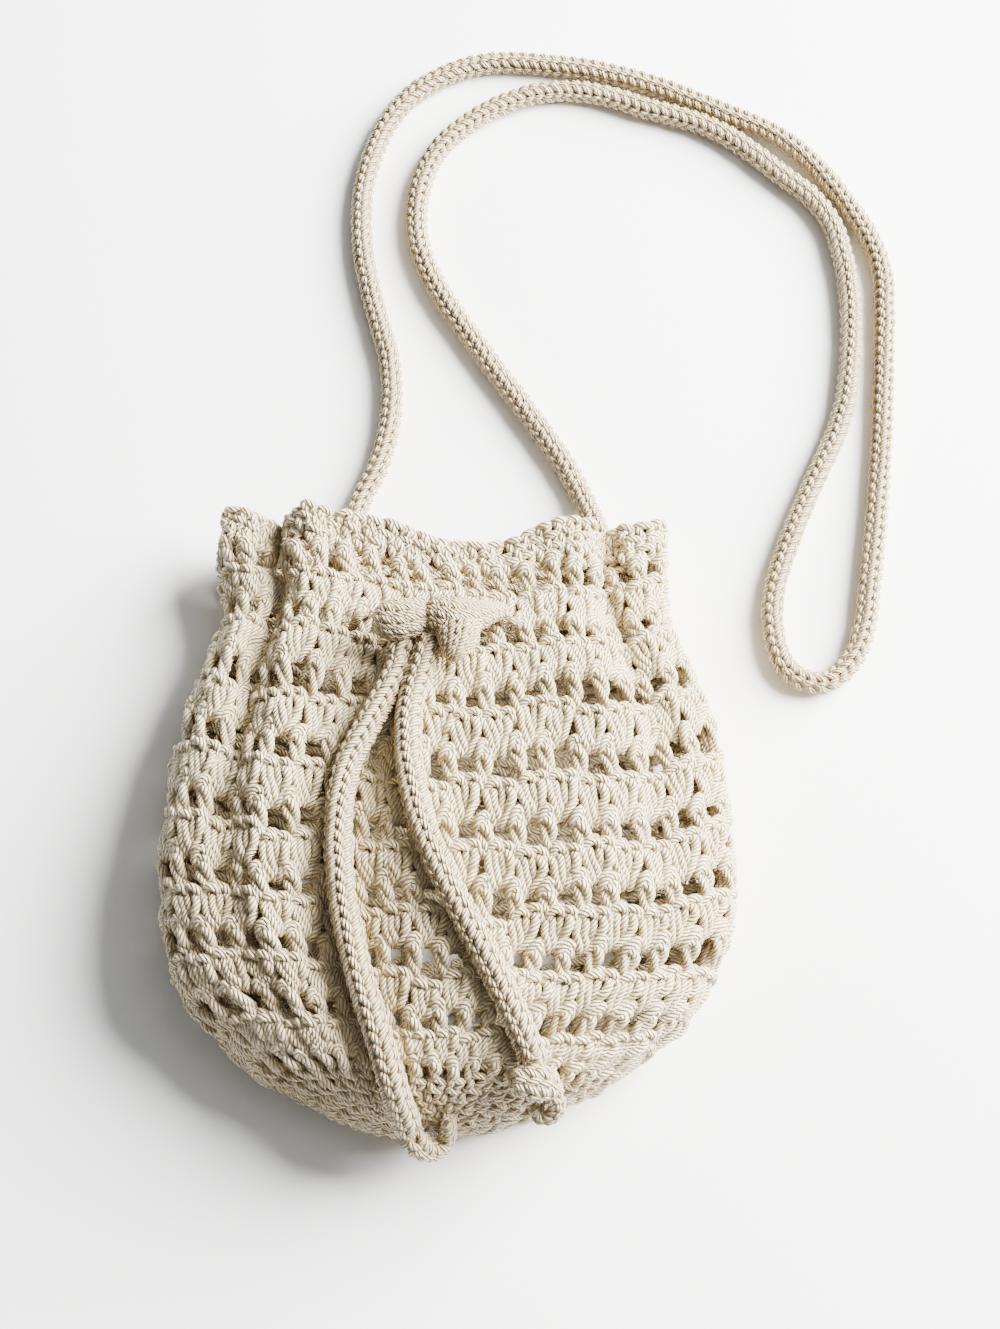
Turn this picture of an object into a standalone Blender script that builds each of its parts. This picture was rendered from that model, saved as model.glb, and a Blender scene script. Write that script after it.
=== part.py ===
"""A crochet drawstring bag with a long crossbody strap, lying on its back.

Metres, +Z up. The mouth points to +Y and the front, with the tied drawstring, faces +Z. The origin is on the
surface that the bag lies on, under the middle of the bag itself.
"""

import math
from collections import namedtuple

import bmesh
import bpy
import numpy as np
from mathutils import Vector

# The bag, as it lies
BAG_WIDTH = 0.212
BAG_LENGTH = 0.240
BAG_DEPTH = 0.056
WALL = 0.0045
FOLD_DEPTH = 0.012
RIM_WAVE = 0.016
ROW_SKEW = 0.006
FLAT_SINK = 0.0015

# How the crochet is worked: a dense base, then bands of an open row under a dense row, then the rim
BASE_SHARE = 0.18
BASE_ROUNDS_AT = (0.28, 0.52, 0.76, 1.00)
RIM_SHARE = 0.02
BANDS = 9
OPEN_SHARE = 0.42
COLUMNS = 80
GAP_EVERY = 8
DRAWSTRING_BAND = 7
DRAWSTRING_GAP_EVERY = 4
EYELET_COLUMNS = 2
LEFT_EYELET_AT = 0.5875
RIGHT_EYELET_AT = 0.4375

# The drawstring and the strap
NECK_CORD_DIAMETER = 0.0042
TAIL_DIAMETER = 0.0098
STRAP_DIAMETER = 0.0086
KNOT_WIDTH = 0.024
KNOT_HEIGHT = 0.013
END_KNOT_WIDTH = 0.0185
END_LOOP_WIDTH = 0.0085
SEWN_END_LENGTH = 0.014

# Clearances, and how steeply a cord can drop over an edge
GAP = 0.0003
CORD_CLEARANCE = 0.0006
NECK_CORD_CLEARANCE = 0.0024
TAIL_SLOPE = 1.1
STRAP_SLOPE = 0.35

# A section is a rounded box: a higher power is squarer
FRONT_POWER = 2.5
BACK_POWER = 2.7
FINE_COLUMNS = 480
FINE_ROWS = 161
NORMAL_REACH = 5
NORMAL_PASSES = 4

Section = namedtuple("Section", "name up left right front back top low")
SECTIONS = (
    # up is the share of the way from the middle of the base to the rim. left and right are shares of half the
    # bag's width, front and back are shares of its length, and top and low are shares of its depth.
    Section("base middle", 0.00, -0.08, -0.08, 0.024, 0.024, 0.36, 0.36),
    Section("base round", 0.09, -0.28, 0.13, 0.050, 0.018, 0.60, 0.17),
    Section("base edge", 0.18, -0.49, 0.40, 0.094, 0.052, 0.81, 0.00),
    Section("lower body", 0.27, -0.69, 0.60, 0.164, 0.092, 0.92, 0.00),
    Section("body", 0.36, -0.88, 0.82, 0.252, 0.163, 0.98, 0.00),
    Section("belly", 0.45, -0.97, 0.96, 0.345, 0.280, 1.00, 0.00),
    Section("upper belly", 0.54, -1.00, 1.00, 0.449, 0.410, 0.99, 0.00),
    Section("upper body", 0.63, -0.99, 0.995, 0.563, 0.532, 0.94, 0.00),
    Section("shoulder", 0.72, -0.94, 0.965, 0.681, 0.655, 0.86, 0.00),
    Section("lower neck", 0.80, -0.88, 0.90, 0.778, 0.752, 0.77, 0.00),
    Section("neck", 0.87, -0.82, 0.82, 0.858, 0.830, 0.68, 0.00),
    Section("mouth", 0.93, -0.85, 0.81, 0.925, 0.892, 0.67, 0.00),
    Section("rim", 1.00, -0.83, 0.80, 0.992, 0.952, 0.70, 0.00),
)

Fold = namedtuple("Fold", "name rim_at foot_at spread rim neck belly foot lift")
FOLDS = (
    # rim_at and foot_at are the shares of a turn where the fold is: 0 is the middle of the back, 0.25 the right
    # side, 0.5 the middle of the front and 0.75 the left side. rim to foot are how far it goes in, as shares of
    # the fold depth, or out where they are negative. lift is the rise of the rim there.
    Fold("front dent", 0.530, 0.548, 0.022, 0.05, 0.30, 0.40, 0.42, 0.00),
    Fold("front dip", 0.484, 0.480, 0.026, 0.20, 0.05, 0.00, 0.00, -0.85),
    Fold("left hump", 0.592, 0.604, 0.018, -0.20, -0.18, -0.12, 0.00, 0.30),
    Fold("left crease", 0.630, 0.622, 0.013, 0.85, 0.75, 0.30, 0.15, 0.00),
    Fold("left ruffle", 0.700, 0.720, 0.030, -0.20, 0.10, 0.00, 0.00, 0.40),
    Fold("right hump", 0.421, 0.435, 0.018, -0.15, -0.15, -0.12, 0.00, 0.15),
    Fold("right crease", 0.380, 0.375, 0.012, 0.55, 0.45, 0.12, 0.00, -0.10),
    Fold("right ruffle", 0.310, 0.290, 0.025, -0.15, 0.05, 0.00, 0.00, 0.28),
    Fold("right tuck", 0.262, 0.255, 0.012, 0.35, 0.30, 0.00, 0.00, 0.00),
    Fold("back left pleat", 0.880, 0.860, 0.022, 0.35, 0.25, 0.00, 0.00, 0.20),
    Fold("back right pleat", 0.110, 0.140, 0.022, 0.35, 0.25, 0.00, 0.00, -0.20),
)
FOLD_LEVELS = (0.10, 0.26, 0.52, 0.85, 1.00)

KnotSection = namedtuple("KnotSection", "along shift width height")
KNOT_SECTIONS = (
    # along is the share of the way from the left eyelet to the right one. shift is towards the mouth. shift and
    # width are shares of the knot's width, and height of its height.
    KnotSection(0.12, 0.08, 0.28, 0.48),
    KnotSection(0.17, 0.02, 0.46, 0.64),
    KnotSection(0.23, -0.12, 0.66, 0.84),
    KnotSection(0.30, -0.26, 0.78, 0.96),
    KnotSection(0.42, -0.26, 0.72, 0.92),
    KnotSection(0.52, -0.28, 0.76, 0.84),
    KnotSection(0.62, -0.40, 1.00, 1.00),
    KnotSection(0.73, -0.38, 0.96, 0.94),
    KnotSection(0.81, -0.16, 0.60, 0.74),
    KnotSection(0.88, 0.00, 0.28, 0.46),
)
KNOT_SIDES = 12

EndSection = namedtuple("EndSection", "x y width height")
END_KNOT = (
    # x is across to the right and y ahead, both from the tail's last point. All are shares of the width.
    EndSection(0.00, 0.05, 0.56, 0.50),
    EndSection(-0.08, 0.22, 0.98, 0.76),
    EndSection(-0.17, 0.46, 1.10, 0.82),
    EndSection(-0.06, 0.74, 0.88, 0.66),
    EndSection(0.12, 0.88, 0.56, 0.46),
    EndSection(0.18, 1.04, 0.44, 0.40),
    EndSection(0.06, 1.20, 0.42, 0.38),
    EndSection(-0.14, 1.22, 0.32, 0.30),
)
END_LOOP = (
    EndSection(0.00, 0.07, 1.06, 1.00),
    EndSection(0.12, 0.50, 1.04, 0.94),
    EndSection(0.48, 0.86, 0.94, 0.86),
    EndSection(0.92, 0.94, 0.82, 0.76),
    EndSection(1.30, 0.72, 0.72, 0.68),
    EndSection(1.58, 0.36, 0.64, 0.62),
    EndSection(1.72, -0.04, 0.52, 0.52),
)
END_SIDES = 10

# Where the tails lie on the bag, as shares of half its width and half its length, from the knot to their ends
LEFT_TAIL = (
    (-0.169, 0.482), (-0.243, 0.270), (-0.337, 0.090), (-0.366, -0.097), (-0.349, -0.303), (-0.302, -0.500),
    (-0.233, -0.693), (-0.172, -0.854), (-0.147, -0.933), (-0.116, -1.000),
)
RIGHT_TAIL = (
    (-0.062, 0.499), (-0.122, 0.311), (-0.127, 0.103), (-0.082, -0.097), (0.012, -0.290), (0.124, -0.477),
    (0.220, -0.645), (0.296, -0.796),
)
TAIL_SPACING = 1.25
NECK_CORD_POINTS = 54

# Where the strap lies, from its left end in the mouth, out round the loops and back: x as a share of half the
# bag's width, and y up from the rim as a share of the bag's width
STRAP = (
    (-0.400, -0.090), (-0.360, 0.045), (-0.303, 0.106), (-0.242, 0.225), (-0.244, 0.351), (-0.318, 0.491),
    (-0.367, 0.632), (-0.347, 0.788), (-0.203, 0.941), (0.086, 1.026), (0.422, 1.026), (0.759, 0.990),
    (1.092, 0.918), (1.365, 0.845), (1.574, 0.715), (1.705, 0.571), (1.703, 0.400), (1.662, 0.155),
    (1.598, -0.084), (1.539, -0.229), (1.405, -0.301), (1.254, -0.269), (1.217, -0.148), (1.292, -0.020),
    (1.404, 0.110), (1.516, 0.236), (1.568, 0.382), (1.570, 0.541), (1.500, 0.683), (1.305, 0.782),
    (1.069, 0.876), (0.794, 0.925), (0.497, 0.967), (0.198, 0.935), (-0.062, 0.829), (-0.148, 0.683),
    (-0.093, 0.551), (0.072, 0.411), (0.461, 0.116), (0.605, -0.090),
)
STRAP_POINTS = 80


def smooth_curve(at, places, values):
    """A smooth curve through the values at the places, with no overshoot at either end."""
    at = np.clip(at, places[0], places[-1])
    slope = np.gradient(values, places)
    i = np.clip(np.searchsorted(places, at) - 1, 0, len(places) - 2)
    step = places[i + 1] - places[i]
    t = (at - places[i]) / step
    return (
        (2 * t**3 - 3 * t**2 + 1) * values[i]
        + (t**3 - 2 * t**2 + t) * step * slope[i]
        + (3 * t**2 - 2 * t**3) * values[i + 1]
        + (t**3 - t**2) * step * slope[i + 1]
    )


def section_column(name, up):
    """One column of the sections at shares of the way up, ready to multiply a row of turns."""
    places = np.array([section.up for section in SECTIONS])
    values = np.array([getattr(section, name) for section in SECTIONS])
    return smooth_curve(up, places, values)[:, None]


def smooth_step(low, high, at):
    t = np.clip((at - low) / (high - low), 0.0, 1.0)
    return t * t * (3 - 2 * t)


def normals_of(points):
    """Outward normals of a grid of points, rows going up the bag and columns going round it."""
    around = np.roll(points, -1, axis=1) - np.roll(points, 1, axis=1)
    along = np.gradient(points, axis=0)
    normal = np.cross(along, around)
    length = np.linalg.norm(normal, axis=2, keepdims=True)
    normal = normal / np.maximum(length, 1e-12)
    middle = normal[1].mean(axis=0)
    normal[0] = middle / np.linalg.norm(middle)
    return normal


def outside_grid():
    """The outside of the bag as a fine grid, evenly spaced round each half, and its outward normals."""
    up = np.linspace(0.0, 1.0, FINE_ROWS)
    turn = np.linspace(0.0, 1.0, 2 * FINE_COLUMNS, endpoint=False)
    sine, cosine = np.sin(2 * math.pi * turn), np.cos(2 * math.pi * turn)
    power = np.where(cosine > 0, BACK_POWER, FRONT_POWER)
    side = np.sign(sine) * np.abs(sine) ** (2 / power)
    face = 0.5 - 0.5 * np.sign(cosine) * np.abs(cosine) ** (2 / power)
    left, right = section_column("left", up), section_column("right", up)
    front, back = section_column("front", up), section_column("back", up)
    top, low = section_column("top", up), section_column("low", up)
    x = ((left + right) / 2 + (right - left) / 2 * side) * BAG_WIDTH / 2
    y = (back + (front - back) * face - 0.5) * BAG_LENGTH
    z = (low + (top - low) * face) * BAG_DEPTH
    skewed = smooth_step(0.05, 0.35, up)[:, None] * (1.0 - 0.6 * smooth_step(0.85, 1.0, up)[:, None])
    y = y - ROW_SKEW * skewed * side * face
    points = np.stack([x, y, z], axis=2)
    normal = normals_of(points)
    levels = np.array(FOLD_LEVELS)
    near_rim = smooth_step(FOLD_LEVELS[-2], FOLD_LEVELS[-1], up)[:, None]
    for fold in FOLDS:
        depths = np.array([0.0, fold.foot, fold.belly, fold.neck, fold.rim])
        depth = smooth_curve(up, levels, depths)[:, None] * smooth_step(0.0, levels[1], up)[:, None]
        middle = fold.foot_at + (fold.rim_at - fold.foot_at) * smooth_step(levels[1], 1.0, up)[:, None]
        profile = np.exp(-0.5 * ((turn[None, :] - middle) / fold.spread) ** 2)
        points = points - normal * (FOLD_DEPTH * depth * profile)[:, :, None]
        points[:, :, 1] += RIM_WAVE * fold.lift * near_rim * profile
    points[:, :, 2] = np.maximum(points[:, :, 2] - FLAT_SINK, 0.0)
    points = even_rings(points)
    least, most = points.min(axis=(0, 1)), points.max(axis=(0, 1))
    size = np.array([BAG_WIDTH, BAG_LENGTH, BAG_DEPTH])
    points = (points - least) / (most - least) * size - size * np.array([0.5, 0.5, 0.0])
    return points, softened(normals_of(points))


def softened(normal):
    """Normals averaged with their neighbours, so that the inside of the wall doesn't fold over in tight corners."""
    for _ in range(NORMAL_PASSES):
        around = sum(np.roll(normal, shift, axis=1) for shift in range(-NORMAL_REACH, NORMAL_REACH + 1))
        padded = np.concatenate([around[:1], around, around[-1:]])
        normal = padded[:-2] + padded[1:-1] + padded[2:]
        normal = normal / np.linalg.norm(normal, axis=2, keepdims=True)
    return normal


def even_rings(points):
    """The same rings with their points evenly spaced round the right half and round the left half."""
    rows, columns = points.shape[:2]
    half = columns // 2
    closed = np.concatenate([points, points[:, :1]], axis=1)
    step = np.linalg.norm(np.diff(closed, axis=1), axis=2)
    even = np.empty((rows, FINE_COLUMNS, 3))
    wanted = np.linspace(0.0, 1.0, FINE_COLUMNS // 2, endpoint=False)
    for row in range(rows):
        for first in (0, half):
            run = np.concatenate([[0.0], np.cumsum(step[row, first:first + half])])
            run = run / max(run[-1], 1e-9) if run[-1] > 1e-9 else np.linspace(0.0, 1.0, half + 1)
            place = 0 if first == 0 else FINE_COLUMNS // 2
            for axis in range(3):
                values = closed[row, first:first + half + 1, axis]
                even[row, place:place + FINE_COLUMNS // 2, axis] = np.interp(wanted, run, values)
    return even


OUTSIDE, NORMALS = outside_grid()


def on_wall(around, up, inward=0.0):
    """The place at a share of the way round and up, this far in from the outside."""
    column = (around % 1.0) * FINE_COLUMNS
    row = min(max(up, 0.0), 1.0) * (FINE_ROWS - 1)
    j, i = int(column) % FINE_COLUMNS, min(int(row), FINE_ROWS - 2)
    a, b = column - int(column), row - i
    j_next = (j + 1) % FINE_COLUMNS

    def mixed(grid):
        low = grid[i, j] * (1 - a) + grid[i, j_next] * a
        high = grid[i + 1, j] * (1 - a) + grid[i + 1, j_next] * a
        return low * (1 - b) + high * b

    normal = mixed(NORMALS)
    return mixed(OUTSIDE) - normal / np.linalg.norm(normal) * inward


def row_levels():
    """The shares of the way up where the rows of the crochet begin and end."""
    levels = [BASE_SHARE * share for share in BASE_ROUNDS_AT]
    band = (1.0 - BASE_SHARE - RIM_SHARE) / BANDS
    for number in range(BANDS):
        foot = BASE_SHARE + band * number
        levels.append(foot + band * OPEN_SHARE)
        levels.append(foot + band)
    levels.append(1.0)
    return levels


def drawstring_up():
    """The share of the way up to the middle of the open row that the drawstring runs in."""
    band = (1.0 - BASE_SHARE - RIM_SHARE) / BANDS
    return BASE_SHARE + band * (DRAWSTRING_BAND + OPEN_SHARE / 2)


def gap_columns(band):
    """The columns left open in a band's open row."""
    if band != DRAWSTRING_BAND:
        shift = GAP_EVERY // 2 if band % 2 else 0
        return {column for column in range(COLUMNS) if (column + shift) % GAP_EVERY == 0}
    eyelets = set()
    beside = set()
    for share in (LEFT_EYELET_AT, RIGHT_EYELET_AT):
        first = round(share * COLUMNS - EYELET_COLUMNS / 2)
        eyelets |= {(first + k) % COLUMNS for k in range(EYELET_COLUMNS)}
        beside |= {(first + k) % COLUMNS for k in range(-2, EYELET_COLUMNS + 2)}
    others = {column for column in range(COLUMNS) if column % DRAWSTRING_GAP_EVERY == 1}
    return eyelets | (others - beside)


def material(name, color, roughness):
    found = bpy.data.materials.new(name)
    found.use_nodes = True
    shader = found.node_tree.nodes["Principled BSDF"]
    shader.inputs["Base Color"].default_value = (*color, 1.0)
    shader.inputs["Roughness"].default_value = roughness
    return found


def add_mesh(name, points, faces, color, roughness):
    mesh = bpy.data.meshes.new(name)
    mesh.from_pydata([tuple(float(v) for v in point) for point in points], [], faces)
    mesh.update()
    obj = bpy.data.objects.new(name, mesh)
    bpy.context.scene.collection.objects.link(obj)
    obj.data.materials.append(material(name + "_yarn", color, roughness))
    cleaned = bmesh.new()
    cleaned.from_mesh(mesh)
    bmesh.ops.triangulate(cleaned, faces=cleaned.faces[:])
    bmesh.ops.recalc_face_normals(cleaned, faces=cleaned.faces[:])
    cleaned.to_mesh(mesh)
    cleaned.free()
    return obj


def add_bag(color):
    """The whole bag in one piece: base, wall and rim, hollow, and cut through in its open rows."""
    levels = row_levels()
    rows = len(levels)
    points = []
    for inward in (0.0, WALL):
        for level in levels:
            points += [on_wall(column / COLUMNS, level, inward) for column in range(COLUMNS)]
    layer = rows * COLUMNS

    def corner(side, row, column):
        return side * layer + row * COLUMNS + column % COLUMNS

    open_quads = set()
    for band in range(BANDS):
        row = len(BASE_ROUNDS_AT) - 1 + 2 * band
        open_quads |= {(row, column) for column in gap_columns(band)}
    kept = {(row, column) for row in range(rows - 1) for column in range(COLUMNS)} - open_quads
    faces = []
    for row, column in sorted(kept):
        square = ((row, column), (row + 1, column), (row + 1, column + 1), (row, column + 1))
        faces.append([corner(0, *place) for place in square])
        faces.append([corner(1, *place) for place in reversed(square)])
        beside = ((row, column - 1), (row + 1, column), (row, column + 1), (row - 1, column))
        for edge, other in enumerate(beside):
            other = (other[0], other[1] % COLUMNS)
            if other in kept or other[0] < 0:
                continue
            first, last = square[edge], square[(edge + 1) % 4]
            faces.append([corner(0, *last), corner(0, *first), corner(1, *first), corner(1, *last)])
    for side, inward in ((0, 0.0), (1, WALL)):
        middle = len(points)
        points.append(on_wall(0.0, 0.0, inward))
        for column in range(COLUMNS):
            ends = [corner(side, 0, column), corner(side, 0, column + 1)]
            faces.append([middle] + (ends if side == 0 else ends[::-1]))
    return add_mesh("bag_body", points, faces, color, 0.78)


def even_route(points, count, bend_length=0.0):
    """Points spaced on a smooth curve through the chosen ones, closer where it bends if a bend length is given."""
    points = np.array(points, dtype=float)
    padded = np.concatenate([[2 * points[0] - points[1]], points, [2 * points[-1] - points[-2]]])
    steps = np.linspace(0.0, 1.0, 24, endpoint=False)[:, None]
    fine = []
    for k in range(len(points) - 1):
        a, b, c, d = padded[k:k + 4]
        bend = (2 * a - 5 * b + 4 * c - d) * steps**2 + (3 * b - a - 3 * c + d) * steps**3
        fine.append(0.5 * (2 * b + (c - a) * steps + bend))
    fine = np.concatenate(fine + [points[-1:]])
    step = np.diff(fine, axis=0)
    length = np.linalg.norm(step, axis=1)
    heading = step / np.maximum(length, 1e-12)[:, None]
    turn = np.concatenate([[0.0], np.linalg.norm(np.diff(heading, axis=0), axis=1)])
    run = np.concatenate([[0.0], np.cumsum(length + bend_length * turn)])
    wanted = np.linspace(0.0, run[-1], count)
    return np.stack([np.interp(wanted, run, fine[:, axis]) for axis in range(fine.shape[1])], axis=1)


def lengths_along(points):
    return np.concatenate([[0.0], np.cumsum(np.linalg.norm(np.diff(points, axis=0), axis=1))])


def kept_apart(route, distance):
    """The same route with the runs that would lie inside each other moved apart, its ends kept."""
    route = route.copy()
    count = len(route)
    index = np.arange(count)
    spacing = lengths_along(route)[-1] / (count - 1)
    far = np.abs(index[:, None] - index[None, :]) * spacing > 3 * distance
    for _ in range(60):
        apart = route[:, None] - route[None, :]
        length = np.linalg.norm(apart, axis=2) + 1e-9
        short = np.where(far, np.maximum(distance - length, 0.0), 0.0)
        push = (apart / length[:, :, None] * short[:, :, None] * 0.25).sum(axis=1)
        if np.abs(push).max() < 1e-6:
            break
        route[2:-2] += push[2:-2]
    return route


def ball_height(solid, place, radius):
    """How high a ball's middle is when it rests at this place on the points of a solid, or on the surface below."""
    near = ((solid[:, :2] - place) ** 2).sum(axis=1)
    reach = radius + CORD_CLEARANCE
    touched = near < reach**2
    if not touched.any():
        return radius + GAP
    return max(radius + GAP, float((solid[touched, 2] + np.sqrt(reach**2 - near[touched])).max()))


def lying_on(route, count, solid, radius, slope):
    """A cord's points on a route, high enough for it to lie on a solid, and sloping no more than it can."""
    fine = even_route(route, 500)
    heights = np.array([ball_height(solid, place, radius) for place in fine])
    run = lengths_along(fine)
    drop = slope * np.abs(run[:, None] - run[None, :])
    heights = (heights[None, :] - drop).max(axis=1)
    chosen = even_route(np.column_stack([fine, run]), count, 3 * radius)
    own = chosen[:, 2]
    lifted = np.interp(own, run, heights)
    for _ in range(60):
        short = heights - np.interp(run, own, lifted)
        if short.max() < 1e-6:
            break
        place = int(short.argmax())
        after = int(np.clip(np.searchsorted(own, run[place]), 1, len(own) - 1))
        lifted[after - 1:after + 1] += short.max()
    return np.column_stack([chosen[:, :2], lifted])


def add_cord(name, points, diameter, color):
    curve = bpy.data.curves.new(name, "CURVE")
    curve.dimensions = "3D"
    curve.fill_mode = "FULL"
    curve.bevel_depth = diameter / 2
    curve.bevel_resolution = 2 if diameter < 0.005 else 3
    curve.use_fill_caps = True
    spline = curve.splines.new("POLY")
    spline.points.add(len(points) - 1)
    for point, place in zip(spline.points, points):
        point.co = (*[float(v) for v in place], 1.0)
    obj = bpy.data.objects.new(name, curve)
    bpy.context.scene.collection.objects.link(obj)
    curve.materials.append(material(name + "_yarn", color, 0.7))
    return obj


def add_swept(name, middles, widths, heights, sides, color, first=None):
    """A closed rounded body along a row of middles, with a width across and a height up at each."""
    middles = np.array(middles)
    points = []
    for k, middle in enumerate(middles):
        ahead = middles[min(k + 1, len(middles) - 1)] - middles[max(k - 1, 0)]
        forward = Vector(first if k == 0 and first is not None else ahead).normalized()
        across = forward.cross(Vector((0.0, 0.0, 1.0))).normalized()
        upward = across.cross(forward).normalized()
        for side in range(sides):
            angle = 2 * math.pi * side / sides
            offset = across * (math.cos(angle) * widths[k] / 2) + upward * (math.sin(angle) * heights[k] / 2)
            points.append(middle + np.array(offset))
    faces = [list(range(sides)), list(range((len(middles) - 1) * sides, len(middles) * sides))]
    for k in range(len(middles) - 1):
        for side in range(sides):
            a, b = k * sides + side, k * sides + (side + 1) % sides
            faces.append([a, b, b + sides, a + sides])
    add_mesh(name, points, faces, color, 0.7)
    return np.array(points)


def top_within(solid, low, high):
    """The highest point of a solid inside a rectangle."""
    inside = (solid[:, :2] > np.array(low)).all(axis=1) & (solid[:, :2] < np.array(high)).all(axis=1)
    return float(solid[inside, 2].max()) if inside.any() else 0.0


def add_knot(color):
    """The half knot that the drawstring is tied in, lying on the front of the bag between its two eyelets."""
    up = drawstring_up()
    left, right = on_wall(LEFT_EYELET_AT, up), on_wall(RIGHT_EYELET_AT, up)
    solid = OUTSIDE.reshape(-1, 3)
    line = left + (right - left) * np.array([section.along for section in KNOT_SECTIONS])[:, None]
    shifts = np.array([section.shift for section in KNOT_SECTIONS]) * KNOT_WIDTH
    widths = np.array([section.width for section in KNOT_SECTIONS]) * KNOT_WIDTH
    heights = np.array([section.height for section in KNOT_SECTIONS]) * KNOT_HEIGHT
    middles = []
    for k, place in enumerate(line):
        y = place[1] + shifts[k]
        before, after = line[max(k - 1, 0)][0], line[min(k + 1, len(line) - 1)][0]
        floor = top_within(solid, (before, y - widths[k] / 2), (after, y + widths[k] / 2))
        middles.append((place[0], y, floor + CORD_CLEARANCE + heights[k] / 2))
    middles = np.array(middles)
    return middles, add_swept("drawstring_knot", middles, widths, heights, KNOT_SIDES, color)


def add_neck_cord(color, knot):
    """The drawstring inside the neck, all the way round the back and out of both eyelets to the knot."""
    up = drawstring_up()
    radius = NECK_CORD_DIAMETER / 2
    depth = WALL + radius + NECK_CORD_CLEARANCE
    column = 1.0 / COLUMNS
    turned = 1.0 + RIGHT_EYELET_AT - LEFT_EYELET_AT
    shares = np.linspace(1.2 * column / turned, 1.0 - 1.2 * column / turned, 66)
    inner = [on_wall(LEFT_EYELET_AT + turned * share, up, depth) for share in shares]
    ends = []
    for number, (eyelet, away) in enumerate(((LEFT_EYELET_AT, 1), (RIGHT_EYELET_AT, -1))):
        middle, other = (knot[0][0], knot[0][1]) if number == 0 else (knot[0][-1], knot[0][-2])
        outward = (middle - other) / np.linalg.norm(middle - other)
        below = on_wall(eyelet + 0.45 * away * column, up, depth)
        above = on_wall(eyelet + 0.05 * away * column, up, -(radius + 2 * CORD_CLEARANCE))
        ends.append([middle + outward * (3 * CORD_CLEARANCE + more) for more in (0.0, radius)] + [above, below])
    route = np.concatenate([ends[0], inner, ends[1][::-1]])
    points = even_route(route, NECK_CORD_POINTS, 2 * NECK_CORD_DIAMETER)
    return add_cord("drawstring_neck", points, NECK_CORD_DIAMETER, color)


def knot_foot(x, knot):
    """How far down the bag the knot reaches beside this x."""
    surface = knot[1]
    near = np.abs(surface[:, 0] - x) < 0.9 * TAIL_DIAMETER
    return float(surface[near, 1].min())


def add_tail(name, places, color, knot):
    """A tail of the drawstring, from the knot down the front of the bag."""
    route = np.array(places) * np.array([BAG_WIDTH, BAG_LENGTH]) / 2
    start = min(knot_foot(route[0, 0], knot) - 2 * CORD_CLEARANCE, route[0, 1])
    straight = [(route[0, 0], start), (route[0, 0], start - 0.4 * TAIL_DIAMETER)]
    route = np.concatenate([straight, route[route[:, 1] < start - 0.8 * TAIL_DIAMETER]])
    count = int(lengths_along(route)[-1] / (TAIL_SPACING * TAIL_DIAMETER)) + 1
    points = lying_on(route, count, OUTSIDE.reshape(-1, 3), TAIL_DIAMETER / 2, TAIL_SLOPE)
    add_cord(name, points, TAIL_DIAMETER, color)
    return points


def add_tail_end(name, sections, width, tail, color):
    """The end of a tail, past the tail's last point, lying on the bag where the bag is below it."""
    last = tail[-1]
    ahead = (last - tail[-2])[:2] / np.linalg.norm((last - tail[-2])[:2])
    across = np.array([-ahead[1], ahead[0]])
    widths = np.array([section.width for section in sections]) * width
    heights = np.array([section.height for section in sections]) * width
    solid = OUTSIDE.reshape(-1, 3)
    middles = []
    for k, section in enumerate(sections):
        place = last[:2] + (across * section.x + ahead * section.y) * width
        reach = max(widths[k] - heights[k], 0.0) / 2
        needed = max(ball_height(solid, place + (side * reach, 0.0), heights[k] / 2) for side in (-1, 0, 1))
        run = math.hypot(*(place - last[:2]))
        middles.append((*place, max(needed, last[2] - TAIL_SLOPE * run)))
    first = (last - tail[-2]) / np.linalg.norm(last - tail[-2])
    middles[0] = tuple(last + first * 2 * CORD_CLEARANCE)
    add_swept(name, middles, widths, heights, END_SIDES, color, first)


def add_strap(color):
    """The strap, from one side of the mouth round its loops to the other, its ends on the back of the bag."""
    rim = float(OUTSIDE[-1, :, 1].max())
    route = np.array(STRAP) * np.array([BAG_WIDTH / 2, BAG_WIDTH]) + np.array([0.0, rim])
    route = kept_apart(even_route(route, 320), STRAP_DIAMETER + CORD_CLEARANCE)
    columns = np.r_[0:FINE_COLUMNS // 5, -(FINE_COLUMNS // 5):0]
    outer = OUTSIDE[int(0.86 * FINE_ROWS):][:, columns]
    inner = outer - NORMALS[int(0.86 * FINE_ROWS):][:, columns] * WALL
    edge = [outer[-1] * (1 - share) + inner[-1] * share for share in np.linspace(0.0, 1.0, 6)]
    solid = np.concatenate([inner.reshape(-1, 3)] + edge)
    points = lying_on(route, STRAP_POINTS, solid, STRAP_DIAMETER / 2, STRAP_SLOPE)
    add_cord("strap", points, STRAP_DIAMETER, color)
    for name, last, before in (("strap_end_left", points[0], points[1]), ("strap_end_right", points[-1], points[-2])):
        forward = (last[:2] - before[:2]) / np.linalg.norm(last[:2] - before[:2])
        first = (last - before) / np.linalg.norm(last - before)
        middles = [last + first * 2 * CORD_CLEARANCE]
        shares = (0.0, 0.15, 0.45, 0.75, 1.0)
        heights = np.array([0.80, 0.92, 0.80, 0.62, 0.40]) * STRAP_DIAMETER
        widths = np.array([0.80, 1.10, 1.30, 1.30, 0.90]) * STRAP_DIAMETER
        for share, height in zip(shares[1:], heights[1:]):
            place = last[:2] + forward * (2 * CORD_CLEARANCE + SEWN_END_LENGTH * share)
            middles.append((*place, ball_height(solid, place, height / 2)))
        add_swept(name, middles, widths, heights, END_SIDES, color, first)


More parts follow.
